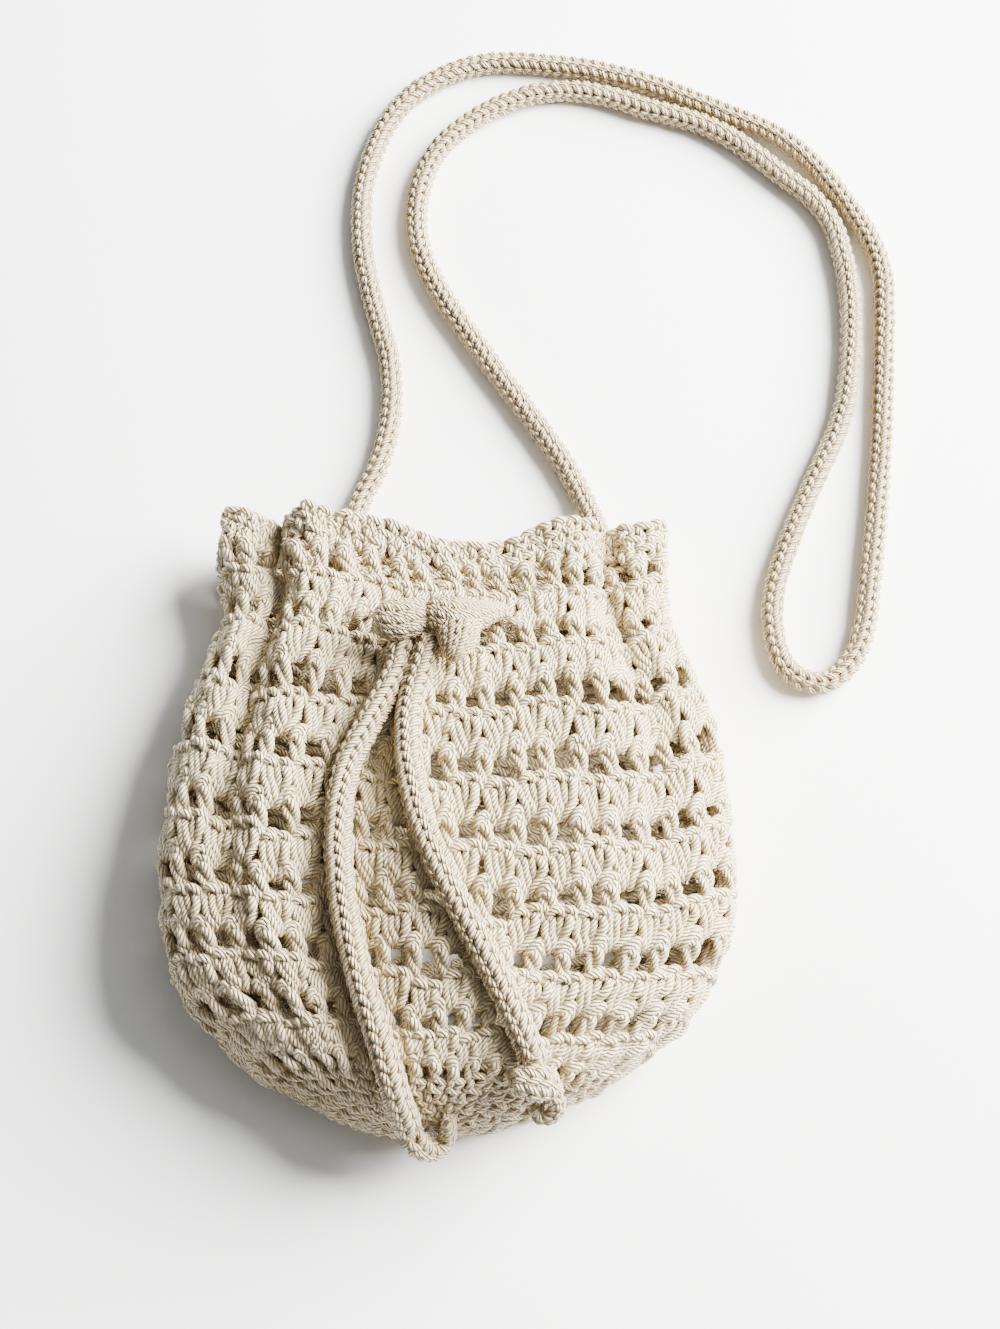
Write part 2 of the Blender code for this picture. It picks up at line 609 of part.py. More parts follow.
def main():
    for obj in list(bpy.data.objects):
        bpy.data.objects.remove(obj, do_unlink=True)
    cream = (0.72, 0.65, 0.54)
    pale = (0.76, 0.69, 0.58)
    add_bag(cream)
    knot = add_knot(pale)
    add_neck_cord(pale, knot)
    left = add_tail("drawstring_tail_left", LEFT_TAIL, pale, knot)
    right = add_tail("drawstring_tail_right", RIGHT_TAIL, pale, knot)
    add_tail_end("tail_end_loop", END_LOOP, END_LOOP_WIDTH, left, pale)
    add_tail_end("tail_end_knot", END_KNOT, END_KNOT_WIDTH, right, pale)
    add_strap(pale)


main()
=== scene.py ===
"""The looks of a crocheted drawstring bag that lies on its back, with its knot, tails and long strap.

Each round of crochet is made of yarn: small stitches drawn flat on a chart, repeated round the bag and laid on its
surface by Geometry Nodes. Metres, +Z up, the mouth towards +Y.
"""

import math
from collections import namedtuple

import bpy
import numpy as np
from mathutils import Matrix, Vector


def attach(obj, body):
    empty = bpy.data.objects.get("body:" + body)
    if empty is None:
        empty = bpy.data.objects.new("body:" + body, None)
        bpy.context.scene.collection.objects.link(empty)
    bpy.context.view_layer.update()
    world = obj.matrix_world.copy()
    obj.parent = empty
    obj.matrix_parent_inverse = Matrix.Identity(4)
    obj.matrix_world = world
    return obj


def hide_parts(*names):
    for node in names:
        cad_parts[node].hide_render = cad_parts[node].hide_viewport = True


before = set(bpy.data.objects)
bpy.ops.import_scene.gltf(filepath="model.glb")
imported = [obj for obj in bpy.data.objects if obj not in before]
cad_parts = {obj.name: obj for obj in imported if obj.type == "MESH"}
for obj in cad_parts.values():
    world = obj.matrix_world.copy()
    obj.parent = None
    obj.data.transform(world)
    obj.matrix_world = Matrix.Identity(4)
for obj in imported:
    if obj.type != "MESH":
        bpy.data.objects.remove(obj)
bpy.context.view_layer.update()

# The bag. Its width, length and depth are the CAD's. Its folds are up to 2.3 mm deeper, as the yarn rounds them off.
BAG_WIDTH = 0.212
BAG_LENGTH = 0.240
BAG_DEPTH = 0.056
FOLD_DEPTH = 0.0145
RIM_WAVE = 0.016
ROW_SKEW = 0.006
SKEW_START = 0.05
SKEW_FULL = 0.35
SKEW_EASE_AT_RIM = 0.6
FLAT_SINK = 0.0015
FRONT_POWER = 2.5
BACK_POWER = 2.7

# The grid of the bag's surface, and how far and how often its normals are averaged
FINE_COLUMNS = 480
FINE_ROWS = 161
NORMAL_REACH = 5
NORMAL_PASSES = 4

# The rows of the crochet, as shares of the way from the middle of the base to the rim, and their stitches
BASE_SHARE = 0.18
RIM_SHARE = 0.02
BANDS = 9
POSTS_ROUND = 40
FIRST_POST = 1.5
DRAWSTRING_BAND = 7
DRAWSTRING_FIRST_POST = 2.5
RIM_ROUNDS = 3
RIM_STITCHES = 62
RIM_FOOT_IN_BAND = 0.52
BASE_ROUNDS = (6, 12, 18, 24, 30, 35)
BASE_OPEN_MIDDLE = 0.3
BASE_SHIFT = 0.4

# The yarn's thickness, and the number of sides that it is drawn with
BAG_YARN = 0.0028
BASE_YARN = 0.0024
RIM_YARN = 0.0029
TAIL_YARN = 0.0029
TAIL_END_YARN = 0.0027
CURL_YARN = 0.0024
STRAP_YARN = 0.0025
KNOT_YARN = 0.0026
SEWN_YARN = 0.0018
NECK_YARN = 0.0017
YARN_SIDES = 8
FINE_YARN_SIDES = 6

# How far the stitches lie off their places, as shares of a stitch, and how the yarn and the rows waver
BAND_UNEVENNESS = 0.09
RIM_UNEVENNESS = 0.14
BASE_UNEVENNESS = 0.08
CORD_UNEVENNESS = 0.022
STRAND_WOBBLE = 120.0
WOBBLE_SHARE = 28.0
ROW_WOBBLE = 26.0
BAG_ROW_DRIFT = 0.0050
FLOOR_HEIGHT = 0.0
CHART_EDGE = 0.0005
TWIST_OFFSET = 0.00037

# How deep the stuffing and the inner sides of the yarn count as, for the shade painted into their colour in the gaps
# between the stitches
CORE_SHADE_DEPTH = -0.0012
INNER_SIDE = -0.15
INNER_LIFT = 0.008

# The cords. The one in the neck is 0.2 mm thinner than the CAD's, so that it stays inside its row.
NECK_CORD_DIAMETER = 0.0040
TAIL_DIAMETER = 0.0098
STRAP_DIAMETER = 0.0086
GUIDE_STEP = 0.0016
GUIDE_SIDES = 20
GUIDE_END_SHARE = 0.45
GUIDE_LEAST_TAPER = 0.0015
CURVE_STEPS = 24

# The cotton: its colours, its plies and the length of one turn of them, and how strongly shade is painted into
# the colour of its grooves and of the gaps between the stitches
CREAM_COTTON = {
    "Light Colour": (0.715, 0.588, 0.350, 1.0), "Deep Colour": (0.26, 0.158, 0.066, 1.0), "Plies": 5.0,
    "Lay Length": 0.0086, "Groove Shade": 0.76, "Shade Depth": 0.90, "Smoothness": 0.66,
}
PLY_RELIEF = 0.0010
PLY_ROUNDNESS = 0.6
FIBRE_SCALE = 2600.0
FIBRE_RELIEF = 0.22
GROOVE_NOISE_SCALE = 240.0
PATCH_SCALE = 38.0
GROOVE_ROUGHNESS = 0.18
# the depths below the crochet's surface between which shade is painted into the gaps, from strongest to none
GAP_DEPTHS = (-0.0018, 0.0011)

# What only the making of the crochet needs, and the finished mesh doesn't
SPARE_ATTRIBUTES = (
    "stitch_number", "strand_share", "strand_depth", "strand_outward", "cell_width", "cell_height", "chart_place",
    "outward",
)

Section = namedtuple("Section", "up left right front back top low")
SECTIONS = (
    # up is the share of the way from the middle of the base to the rim. left and right are shares of half the
    # bag's width, front and back are shares of its length, and top and low are shares of its depth. At the mouth the
    # back rises 7 mm higher than in the CAD, so that the holes of the front show it.
    Section(0.00, -0.08, -0.08, 0.024, 0.024, 0.36, 0.36),
    Section(0.09, -0.28, 0.13, 0.050, 0.018, 0.60, 0.17),
    Section(0.18, -0.49, 0.40, 0.094, 0.052, 0.81, 0.00),
    Section(0.27, -0.69, 0.60, 0.164, 0.092, 0.92, 0.00),
    Section(0.36, -0.88, 0.82, 0.252, 0.163, 0.98, 0.00),
    Section(0.45, -0.97, 0.96, 0.345, 0.280, 1.00, 0.00),
    Section(0.54, -1.00, 1.00, 0.449, 0.410, 0.99, 0.00),
    Section(0.63, -0.99, 0.995, 0.563, 0.532, 0.94, 0.00),
    Section(0.72, -0.94, 0.965, 0.681, 0.655, 0.86, 0.00),
    Section(0.80, -0.88, 0.90, 0.778, 0.752, 0.77, 0.00),
    Section(0.87, -0.82, 0.82, 0.858, 0.830, 0.68, 0.00),
    Section(0.93, -0.85, 0.81, 0.925, 0.902, 0.67, 0.00),
    Section(1.00, -0.83, 0.80, 0.992, 0.980, 0.70, 0.00),
)

Fold = namedtuple("Fold", "name rim_at foot_at spread rim neck belly foot lift")
FOLDS = (
    # rim_at and foot_at are the shares of a turn where the fold is: 0 is the middle of the back, 0.25 the right
    # side, 0.5 the middle of the front and 0.75 the left side. rim to foot are how far it goes in, and lift is how
    # far the rim rises there. The front's dip is shallower than the CAD's.
    Fold("front dent", 0.530, 0.548, 0.022, 0.05, 0.30, 0.40, 0.42, 0.00),
    Fold("front dip", 0.484, 0.480, 0.026, 0.20, 0.05, 0.00, 0.00, -0.62),
    Fold("left hump", 0.592, 0.604, 0.018, -0.20, -0.18, -0.12, 0.00, 0.30),
    Fold("left crease", 0.630, 0.622, 0.013, 0.85, 0.75, 0.30, 0.15, 0.00),
    Fold("left ruffle", 0.700, 0.720, 0.030, -0.20, 0.10, 0.00, 0.00, 0.40),
    Fold("right hump", 0.421, 0.435, 0.018, -0.15, -0.15, -0.12, 0.00, 0.15),
    Fold("right crease", 0.380, 0.375, 0.012, 0.55, 0.45, 0.12, 0.00, -0.10),
    Fold("right ruffle", 0.310, 0.290, 0.025, -0.15, 0.05, 0.00, 0.00, 0.28),
    Fold("right tuck", 0.262, 0.255, 0.014, 0.45, 0.35, 0.00, 0.00, -0.30),
    Fold("back left pleat", 0.880, 0.860, 0.022, 0.35, 0.25, 0.00, 0.00, 0.20),
    Fold("back right pleat", 0.110, 0.140, 0.022, 0.35, 0.25, 0.00, 0.00, -0.20),
)
FOLD_LEVELS = (0.10, 0.26, 0.52, 0.85, 1.00)

# Where the rows lie higher or lower than evenly: the share of a turn, its spread, and the share of the way up
ROW_RISES = ((0.250, 0.045, 0.060), (0.500, 0.055, -0.019), (0.760, 0.050, 0.045))
ROW_RISE_FULL = 0.40
ROW_RISE_EASED = 0.78

# The routes of the cords, in metres: the CAD's, but for the tops of the tails
NECK_ROUTE = (
    (-0.0290, 0.0726, 0.0398), (-0.0316, 0.0730, 0.0395), (-0.0342, 0.0714, 0.0412), (-0.0356, 0.0705, 0.0389),
    (-0.0383, 0.0688, 0.0300), (-0.0424, 0.0691, 0.0300), (-0.0513, 0.0699, 0.0316), (-0.0583, 0.0678, 0.0274),
    (-0.0693, 0.0672, 0.0197), (-0.0780, 0.0691, 0.0231), (-0.0823, 0.0645, 0.0181), (-0.0714, 0.0637, 0.0153),
    (-0.0624, 0.0629, 0.0133), (-0.0531, 0.0627, 0.0102), (-0.0438, 0.0628, 0.0090), (-0.0327, 0.0628, 0.0090),
    (-0.0101, 0.0627, 0.0090), (0.0127, 0.0627, 0.0090), (0.0354, 0.0627, 0.0090), (0.0460, 0.0625, 0.0090),
    (0.0550, 0.0619, 0.0108), (0.0644, 0.0620, 0.0137), (0.0735, 0.0625, 0.0148), (0.0805, 0.0616, 0.0156),
    (0.0836, 0.0585, 0.0173), (0.0818, 0.0588, 0.0231), (0.0745, 0.0609, 0.0246), (0.0688, 0.0599, 0.0232),
    (0.0622, 0.0597, 0.0255), (0.0570, 0.0609, 0.0300), (0.0515, 0.0628, 0.0324), (0.0426, 0.0639, 0.0324),
    (0.0321, 0.0642, 0.0320), (0.0281, 0.0646, 0.0326), (0.0270, 0.0672, 0.0412), (0.0257, 0.0685, 0.0442),
    (0.0228, 0.0694, 0.0433), (0.0198, 0.0685, 0.0438),
)
LEFT_TAIL_ROUTE = (
    (-0.0179, 0.0530, 0.0471), (-0.0176, 0.0501, 0.0480), (-0.0231, 0.0379, 0.0496), (-0.0293, 0.0253, 0.0511),
    (-0.0349, 0.0132, 0.0527), (-0.0378, 0.0010, 0.0541), (-0.0388, -0.0124, 0.0553), (-0.0382, -0.0259, 0.0558),
    (-0.0365, -0.0396, 0.0555), (-0.0337, -0.0533, 0.0550), (-0.0301, -0.0668, 0.0543), (-0.0256, -0.0805, 0.0529),
    (-0.0210, -0.0942, 0.0516), (-0.0168, -0.1076, 0.0466), (-0.0123, -0.1200, 0.0324),
)
RIGHT_TAIL_ROUTE = (
    (-0.0123, 0.0391, 0.0511), (-0.0138, 0.0280, 0.0531), (-0.0136, 0.0136, 0.0557), (-0.0116, -0.0005, 0.0579),
    (-0.0079, -0.0141, 0.0598), (-0.0023, -0.0274, 0.0609), (0.0044, -0.0409, 0.0612), (0.0116, -0.0544, 0.0613),
    (0.0187, -0.0680, 0.0601), (0.0252, -0.0815, 0.0578), (0.0314, -0.0955, 0.0526),
)
# The tops of the tails run on under the knot
LEFT_TAIL_TOP = (
    (-0.0165, 0.0654, 0.0460), (-0.0170, 0.0590, 0.0480),
)
RIGHT_TAIL_TOP = (
    (-0.0051, 0.0674, 0.0470), (-0.0065, 0.0592, 0.0500), (-0.0082, 0.0520, 0.0510),
)
STRAP_ROUTE = (
    (-0.0424, 0.1009, 0.0106), (-0.0401, 0.1183, 0.0063), (-0.0368, 0.1336, 0.0046), (-0.0306, 0.1471, 0.0046),
    (-0.0263, 0.1634, 0.0046), (-0.0249, 0.1798, 0.0046), (-0.0262, 0.1963, 0.0046), (-0.0305, 0.2125, 0.0046),
    (-0.0348, 0.2291, 0.0046), (-0.0381, 0.2459, 0.0046), (-0.0392, 0.2627, 0.0046), (-0.0383, 0.2793, 0.0046),
    (-0.0343, 0.2953, 0.0046), (-0.0279, 0.3104, 0.0046), (-0.0183, 0.3227, 0.0046), (-0.0052, 0.3318, 0.0046),
    (0.0098, 0.3377, 0.0046), (0.0256, 0.3391, 0.0046), (0.0426, 0.3377, 0.0046), (0.0595, 0.3353, 0.0046),
    (0.0761, 0.3312, 0.0046), (0.0921, 0.3255, 0.0046), (0.1078, 0.3184, 0.0046), (0.1233, 0.3112, 0.0046),
    (0.1383, 0.3037, 0.0046), (0.1505, 0.2935, 0.0046), (0.1610, 0.2805, 0.0046), (0.1702, 0.2660, 0.0046),
    (0.1777, 0.2512, 0.0046), (0.1815, 0.2358, 0.0046), (0.1815, 0.2192, 0.0046), (0.1803, 0.2018, 0.0046),
    (0.1791, 0.1843, 0.0046), (0.1776, 0.1668, 0.0046), (0.1758, 0.1493, 0.0046), (0.1737, 0.1319, 0.0046),
    (0.1713, 0.1145, 0.0046), (0.1686, 0.0972, 0.0046), (0.1659, 0.0802, 0.0046), (0.1602, 0.0661, 0.0046),
    (0.1502, 0.0567, 0.0046), (0.1387, 0.0577, 0.0046), (0.1311, 0.0672, 0.0046), (0.1288, 0.0828, 0.0046),
    (0.1309, 0.0984, 0.0046), (0.1365, 0.1146, 0.0046), (0.1430, 0.1305, 0.0046), (0.1502, 0.1464, 0.0046),
    (0.1576, 0.1618, 0.0046), (0.1627, 0.1775, 0.0046), (0.1655, 0.1942, 0.0046), (0.1669, 0.2114, 0.0046),
    (0.1669, 0.2284, 0.0046), (0.1650, 0.2452, 0.0046), (0.1609, 0.2608, 0.0046), (0.1524, 0.2733, 0.0046),
    (0.1398, 0.2845, 0.0046), (0.1268, 0.2960, 0.0046), (0.1135, 0.3055, 0.0046), (0.0984, 0.3118, 0.0046),
    (0.0819, 0.3168, 0.0046), (0.0658, 0.3225, 0.0046), (0.0503, 0.3250, 0.0046), (0.0343, 0.3231, 0.0046),
    (0.0193, 0.3174, 0.0046), (0.0056, 0.3083, 0.0046), (-0.0057, 0.2970, 0.0046), (-0.0125, 0.2832, 0.0046),
    (-0.0155, 0.2672, 0.0046), (-0.0146, 0.2516, 0.0046), (-0.0095, 0.2360, 0.0046), (-0.0016, 0.2214, 0.0046),
    (0.0079, 0.2067, 0.0046), (0.0177, 0.1922, 0.0046), (0.0277, 0.1777, 0.0046), (0.0375, 0.1632, 0.0046),
    (0.0467, 0.1485, 0.0046), (0.0540, 0.1335, 0.0048), (0.0593, 0.1174, 0.0116), (0.0641, 0.1009, 0.0166),
)

Swell = namedtuple("Swell", "x y z width height")
# The middle of each section of a rounded body, with its width across and its height, in metres. The knot's three
# forms reach 3.3 mm higher than the CAD's one solid.
KNOT_LEFT = (
    Swell(-0.0265, 0.0684, 0.0500, 0.0132, 0.0116),
    Swell(-0.0230, 0.0668, 0.0524, 0.0152, 0.0134),
    Swell(-0.0184, 0.0660, 0.0536, 0.0158, 0.0140),
    Swell(-0.0139, 0.0668, 0.0536, 0.0154, 0.0138),
    Swell(-0.0098, 0.0683, 0.0528, 0.0138, 0.0128),
    Swell(-0.0061, 0.0694, 0.0518, 0.0118, 0.0112),
)
KNOT_RIGHT = (
    Swell(-0.0069, 0.0695, 0.0528, 0.0114, 0.0108),
    Swell(-0.0027, 0.0680, 0.0548, 0.0142, 0.0126),
    Swell(0.0019, 0.0666, 0.0556, 0.0154, 0.0134),
    Swell(0.0067, 0.0668, 0.0548, 0.0146, 0.0128),
    Swell(0.0115, 0.0682, 0.0530, 0.0118, 0.0110),
    Swell(0.0168, 0.0705, 0.0496, 0.0084, 0.0084),
    Swell(0.0221, 0.0726, 0.0458, 0.0058, 0.0058),
)
KNOT_FLAP = (
    Swell(0.0052, 0.0696, 0.0536, 0.0146, 0.0096),
    Swell(0.0045, 0.0637, 0.0560, 0.0170, 0.0116),
    Swell(0.0038, 0.0585, 0.0562, 0.0156, 0.0116),
    Swell(0.0027, 0.0541, 0.0554, 0.0114, 0.0102),
    Swell(0.0016, 0.0502, 0.0540, 0.0066, 0.0072),
)
END_KNOT = (
    Swell(0.0237, -0.1037, 0.0495, 0.0040, 0.0046),
    Swell(0.0251, -0.1034, 0.0500, 0.0080, 0.0084),
    Swell(0.0275, -0.1034, 0.0505, 0.0112, 0.0112),
    Swell(0.0307, -0.1038, 0.0505, 0.0130, 0.0126),
    Swell(0.0339, -0.1040, 0.0498, 0.0132, 0.0124),
    Swell(0.0367, -0.1046, 0.0484, 0.0112, 0.0108),
    Swell(0.0388, -0.1052, 0.0470, 0.0074, 0.0076),
    Swell(0.0403, -0.1058, 0.0460, 0.0036, 0.0040),
)
END_CURL = (
    Swell(0.0371, -0.1066, 0.0440, 0.0066, 0.0064),
    Swell(0.0397, -0.1088, 0.0410, 0.0064, 0.0062),
    Swell(0.0401, -0.1121, 0.0380, 0.0062, 0.0058),
    Swell(0.0376, -0.1147, 0.0355, 0.0060, 0.0056),
    Swell(0.0344, -0.1149, 0.0345, 0.0058, 0.0054),
    Swell(0.0327, -0.1122, 0.0355, 0.0054, 0.0052),
    Swell(0.0341, -0.1096, 0.0375, 0.0044, 0.0042),
)
END_LOOP = (
    Swell(-0.0124, -0.1196, 0.0325, 0.0098, 0.0096),
    Swell(-0.0099, -0.1236, 0.0276, 0.0096, 0.0092),
    Swell(-0.0060, -0.1255, 0.0232, 0.0088, 0.0082),
    Swell(-0.0022, -0.1249, 0.0201, 0.0078, 0.0072),
    Swell(0.0002, -0.1220, 0.0190, 0.0070, 0.0064),
    Swell(0.0014, -0.1183, 0.0272, 0.0062, 0.0058),
    Swell(0.0013, -0.1147, 0.0338, 0.0050, 0.0048),
)
SEWN_END_LEFT = (
    Swell(-0.0426, 0.0998, 0.0109, 0.0069, 0.0069),
    Swell(-0.0428, 0.0976, 0.0090, 0.0095, 0.0079),
    Swell(-0.0434, 0.0935, 0.0085, 0.0112, 0.0069),
    Swell(-0.0439, 0.0893, 0.0077, 0.0112, 0.0053),
    Swell(-0.0444, 0.0858, 0.0067, 0.0077, 0.0036),
)
SEWN_END_RIGHT = (
    Swell(0.0645, 0.0998, 0.0169, 0.0069, 0.0069),
    Swell(0.0651, 0.0978, 0.0151, 0.0095, 0.0079),
    Swell(0.0662, 0.0937, 0.0144, 0.0112, 0.0069),
    Swell(0.0674, 0.0897, 0.0134, 0.0112, 0.0053),
    Swell(0.0684, 0.0863, 0.0123, 0.0077, 0.0036),
)

# The stitches: each strand has the yarn's share of its thickness, and a row of points in millimetres, to the right as
# seen from outside the bag, up the stitch, and out from the surface. The spacing is that of the points of its curve.
BAG_SPACING = 1.6
TIGHT_SPACING = 1.5
CORD_SPACING = 1.3
STRAP_SPACING = 1.5
FINE_SPACING = 1.9
OPEN_BAND_SIZE = (12.8, 26.0)
OPEN_STRANDS = (
    # the post between two holes: its thin leg, the yarn slung round its right side, its rounded top, the loop inside
    # the top, and the legs in the shade
    (0.94, (
        (1.5, -0.8, -1.0), (0.8, 1.4, 0.1), (-0.6, 4.0, 0.5), (-1.9, 6.8, 0.4), (-2.6, 9.4, -0.6),
        (-2.4, 11.4, -1.8),
    )),
    (1.22, (
        (-2.3, 10.8, -1.0), (-0.9, 11.0, 0.6), (0.6, 9.8, 1.2), (1.4, 7.8, 1.0), (1.6, 5.6, -0.1),
        (1.1, 3.8, -1.8),
    )),
    (1.26, (
        (-3.1, 9.4, -1.6), (-3.1, 12.0, 0.1), (-2.3, 14.3, 0.8), (-0.7, 15.6, 1.0), (1.0, 15.0, 0.5),
        (2.2, 13.0, -1.4),
    )),
    (1.22, ((-1.9, 12.3, -0.4), (-0.4, 13.3, 0.6), (1.1, 12.4, 0.5), (2.2, 10.4, -1.3))),
    (1.14, ((0.9, -1.4, -1.8), (0.2, 3.4, -0.9), (-0.5, 8.4, -0.4), (-0.4, 13.2, -1.4))),
    (1.00, ((0.7, -1.6, -2.8), (0.2, 3.0, -2.7), (-0.2, 8.0, -2.8), (0.0, 14.0, -3.0))),
)
OPEN_TOP_STRANDS = (
    # the chain along the top of the open row, and the bar behind it
    (1.00, ((-6.8, 13.6, -1.9), (-3.6, 14.8, -0.6), (0.0, 14.0, -0.8), (3.4, 14.8, -0.6), (6.8, 13.6, -1.9))),
    (1.00, ((-6.6, 15.0, -2.6), (0.0, 16.0, -2.9), (6.6, 15.0, -2.6))),
)
DENSE_STRANDS = (
    # a V over each hole: the two strands of its long leg, and its short leg, thick above and thin below
    (1.08, (
        (-0.3, 25.8, -1.7), (0.0, 23.6, 0.2), (0.8, 20.2, 0.8), (2.1, 16.4, 0.8), (3.6, 13.0, 0.0),
        (4.3, 11.2, -1.9),
    )),
    (1.08, (
        (2.6, 25.8, -1.8), (2.8, 23.4, 0.1), (3.4, 20.0, 0.7), (4.6, 16.6, 0.6), (5.5, 13.4, -0.3),
        (5.6, 11.4, -1.9),
    )),
    (1.06, ((5.6, 25.8, -1.8), (6.0, 23.4, 0.0), (6.2, 20.6, 0.3), (6.5, 18.0, -0.4), (6.6, 16.0, -1.8))),
    (1.30, ((8.0, 26.0, -1.7), (9.4, 24.2, 0.3), (9.9, 21.8, 1.0), (9.4, 19.4, 0.8), (8.1, 17.8, -1.0))),
    (1.10, ((10.3, 19.4, -1.2), (9.5, 17.2, 0.0), (8.2, 15.0, 0.4), (6.9, 12.8, -0.3), (6.2, 11.2, -2.0))),
    # the ridge: the loops that fan out from the foot of each post of the next row
    (1.14, ((-0.2, 25.0, -0.9), (1.2, 26.4, 0.6), (3.4, 27.2, 1.2), (5.4, 26.4, 0.8), (6.6, 24.8, -1.2))),
    (1.14, ((5.6, 26.2, -1.3), (7.2, 27.6, 0.5), (9.2, 27.8, 1.0), (11.0, 26.6, 0.8), (12.2, 24.9, -1.0))),
    (1.00, ((0.2, 27.9, -1.8), (2.4, 29.0, -0.7), (4.8, 28.8, -0.7), (6.8, 27.6, -1.8))),
    (1.00, ((9.4, 25.2, -1.0), (10.8, 25.2, 0.2), (12.2, 24.0, 0.5), (12.9, 22.4, -1.2))),
    # bars behind, which close the row
    (1.20, ((-2.6, 17.4, -2.8), (2.0, 18.4, -3.0), (6.4, 17.0, -2.8), (10.6, 17.8, -2.9))),
    (1.20, ((-2.6, 22.0, -2.7), (2.0, 21.2, -2.9), (6.4, 22.4, -2.7), (10.6, 21.8, -2.8))),
    (1.15, ((-2.6, 25.6, -2.5), (2.0, 26.4, -2.7), (6.4, 25.6, -2.5), (10.6, 26.2, -2.6))),
)
TIGHT_SIZE = (6.4, 6.0)
TIGHT_STRANDS = (
    # one stitch of a dense round: two legs that lean together, the top of the stitch, and a bar behind
    (1.14, ((-2.6, 6.2, -2.4), (-2.0, 4.4, -0.2), (-1.1, 2.0, 0.1), (-0.2, -0.4, -2.4))),
    (1.08, ((1.9, 6.2, -2.5), (2.0, 4.4, -0.4), (1.4, 2.0, -0.3), (0.5, -0.4, -2.5))),
    (1.06, ((-3.6, 5.6, -2.4), (-2.2, 6.9, -0.4), (0.0, 6.8, 0.3), (2.0, 5.8, -0.2), (3.0, 4.4, -2.3))),
    (1.10, ((-3.6, 2.6, -3.0), (0.0, 3.6, -3.2), (3.6, 2.6, -3.0))),
)
CORD_STITCH_SIZE = (7.7, 4.5)
CORD_STRANDS = (
    # one stitch of a round cord: two fat legs that lean together
    (1.00, ((-0.1, -1.6, -2.7), (-0.9, 0.2, -1.1), (-2.4, 2.6, -0.8), (-3.8, 4.8, -1.9))),
    (1.00, ((0.2, -1.6, -2.8), (1.0, 0.2, -1.2), (2.5, 2.6, -0.9), (3.8, 4.8, -2.0))),
)
STRAP_STITCH_SIZE = (6.7, 4.3)
STRAP_STRANDS = (
    (1.05, ((0.2, -1.8, -2.6), (-0.8, 0.1, -0.9), (-2.0, 1.8, -0.8), (-3.2, 3.7, -2.2))),
    (1.05, ((0.3, -1.8, -2.7), (1.1, 0.1, -1.0), (2.2, 1.8, -0.9), (3.2, 3.7, -2.3))),
)
FINE_STITCH_SIZE = (5.4, 3.3)
FINE_STRANDS = (
    # the same, smaller and simpler, for the knot, the cord in the neck and the sewn ends
    (1.04, ((0.1, -1.6, -2.2), (-0.8, 1.0, -0.9), (-2.1, 3.6, -1.7))),
    (1.04, ((0.5, -1.6, -2.3), (1.2, 1.0, -1.0), (2.1, 3.6, -1.8))),
)

Cord = namedtuple("Cord", "node columns pitch yarn core_depth seed drift")
CORDS = {
    # The node that each crocheted cord replaces, its stitches in a round, the height of a round, the thickness of its
    # yarn, how deep its stuffing lies, its seed, and how many turns its columns wind from end to end
    "neck_cord": Cord("drawstring_neck", 4, 0.0032, NECK_YARN, 0.0012, 31, 0.0),
    "knot_left": Cord("drawstring_knot", 9, 0.0034, KNOT_YARN, 0.0022, 32, 0.0),
    "knot_right": Cord("drawstring_knot", 9, 0.0034, KNOT_YARN, 0.0022, 33, 0.0),
    "knot_flap": Cord("drawstring_knot", 9, 0.0034, KNOT_YARN, 0.0022, 42, 0.0),
    "left_tail": Cord("drawstring_tail_left", 4, 0.0045, TAIL_YARN, 0.0030, 34, 0.25),
    "right_tail": Cord("drawstring_tail_right", 4, 0.0045, TAIL_YARN, 0.0030, 35, -0.3),
    "left_tip": Cord("tail_end_loop", 3, 0.0038, TAIL_END_YARN, 0.0024, 36, 0.0),
    "end_knot_ball": Cord("tail_end_knot", 6, 0.0036, TAIL_END_YARN, 0.0026, 37, 0.0),
    "end_knot_curl": Cord("tail_end_knot", 3, 0.0034, CURL_YARN, 0.0020, 38, 0.0),
    "crossbody_strap": Cord("strap", 4, 0.0044, STRAP_YARN, 0.0027, 39, 0.6),
    "sewn_end_left": Cord("strap_end_left", 5, 0.0034, SEWN_YARN, 0.0016, 40, 0.0),
    "sewn_end_right": Cord("strap_end_right", 5, 0.0034, SEWN_YARN, 0.0016, 41, 0.0),
}

CAMERA_PLACE = (0.0198, -0.1689, 0.7650)
CAMERA_TILT = 17.0
CAMERA_LENS = 72.0
SENSOR_WIDTH = 36.0
FLOOR_REACH = 8.0
PAPER_WHITE = 0.95
ROOM_COLOUR = (0.95, 0.97, 1.0, 1.0)
ROOM_STRENGTH = 0.21
Lamp = namedtuple("Lamp", "name place target width power colour")
LAMPS = (
    Lamp("window", (1.24, 0.62, 0.77), (0.0, 0.0, 0.0), 1.40, 400.0, (1.0, 0.985, 0.96)),
    Lamp("fill", (0.7, 0.5, 1.7), (0.0, 0.05, 0.0), 1.2, 8.0, (0.96, 0.98, 1.0)),
    # the light that comes through the cotton of the front, on the inside of the back
    Lamp("through_the_cotton", (0.0, -0.01, 0.034), (0.0, -0.01, 0.0), 0.13, 0.02, (1.0, 0.97, 0.90)),
)


def smooth_curve(at, places, values):
    """A smooth curve through the values at the places, with no overshoot at either end."""
    at = np.clip(at, places[0], places[-1])
    slope = np.gradient(values, places)
    i = np.clip(np.searchsorted(places, at) - 1, 0, len(places) - 2)
    step = places[i + 1] - places[i]
    t = (at - places[i]) / step
    return (
        (2 * t**3 - 3 * t**2 + 1) * values[i]
        + (t**3 - 2 * t**2 + t) * step * slope[i]
        + (3 * t**2 - 2 * t**3) * values[i + 1]
        + (t**3 - t**2) * step * slope[i + 1]
    )


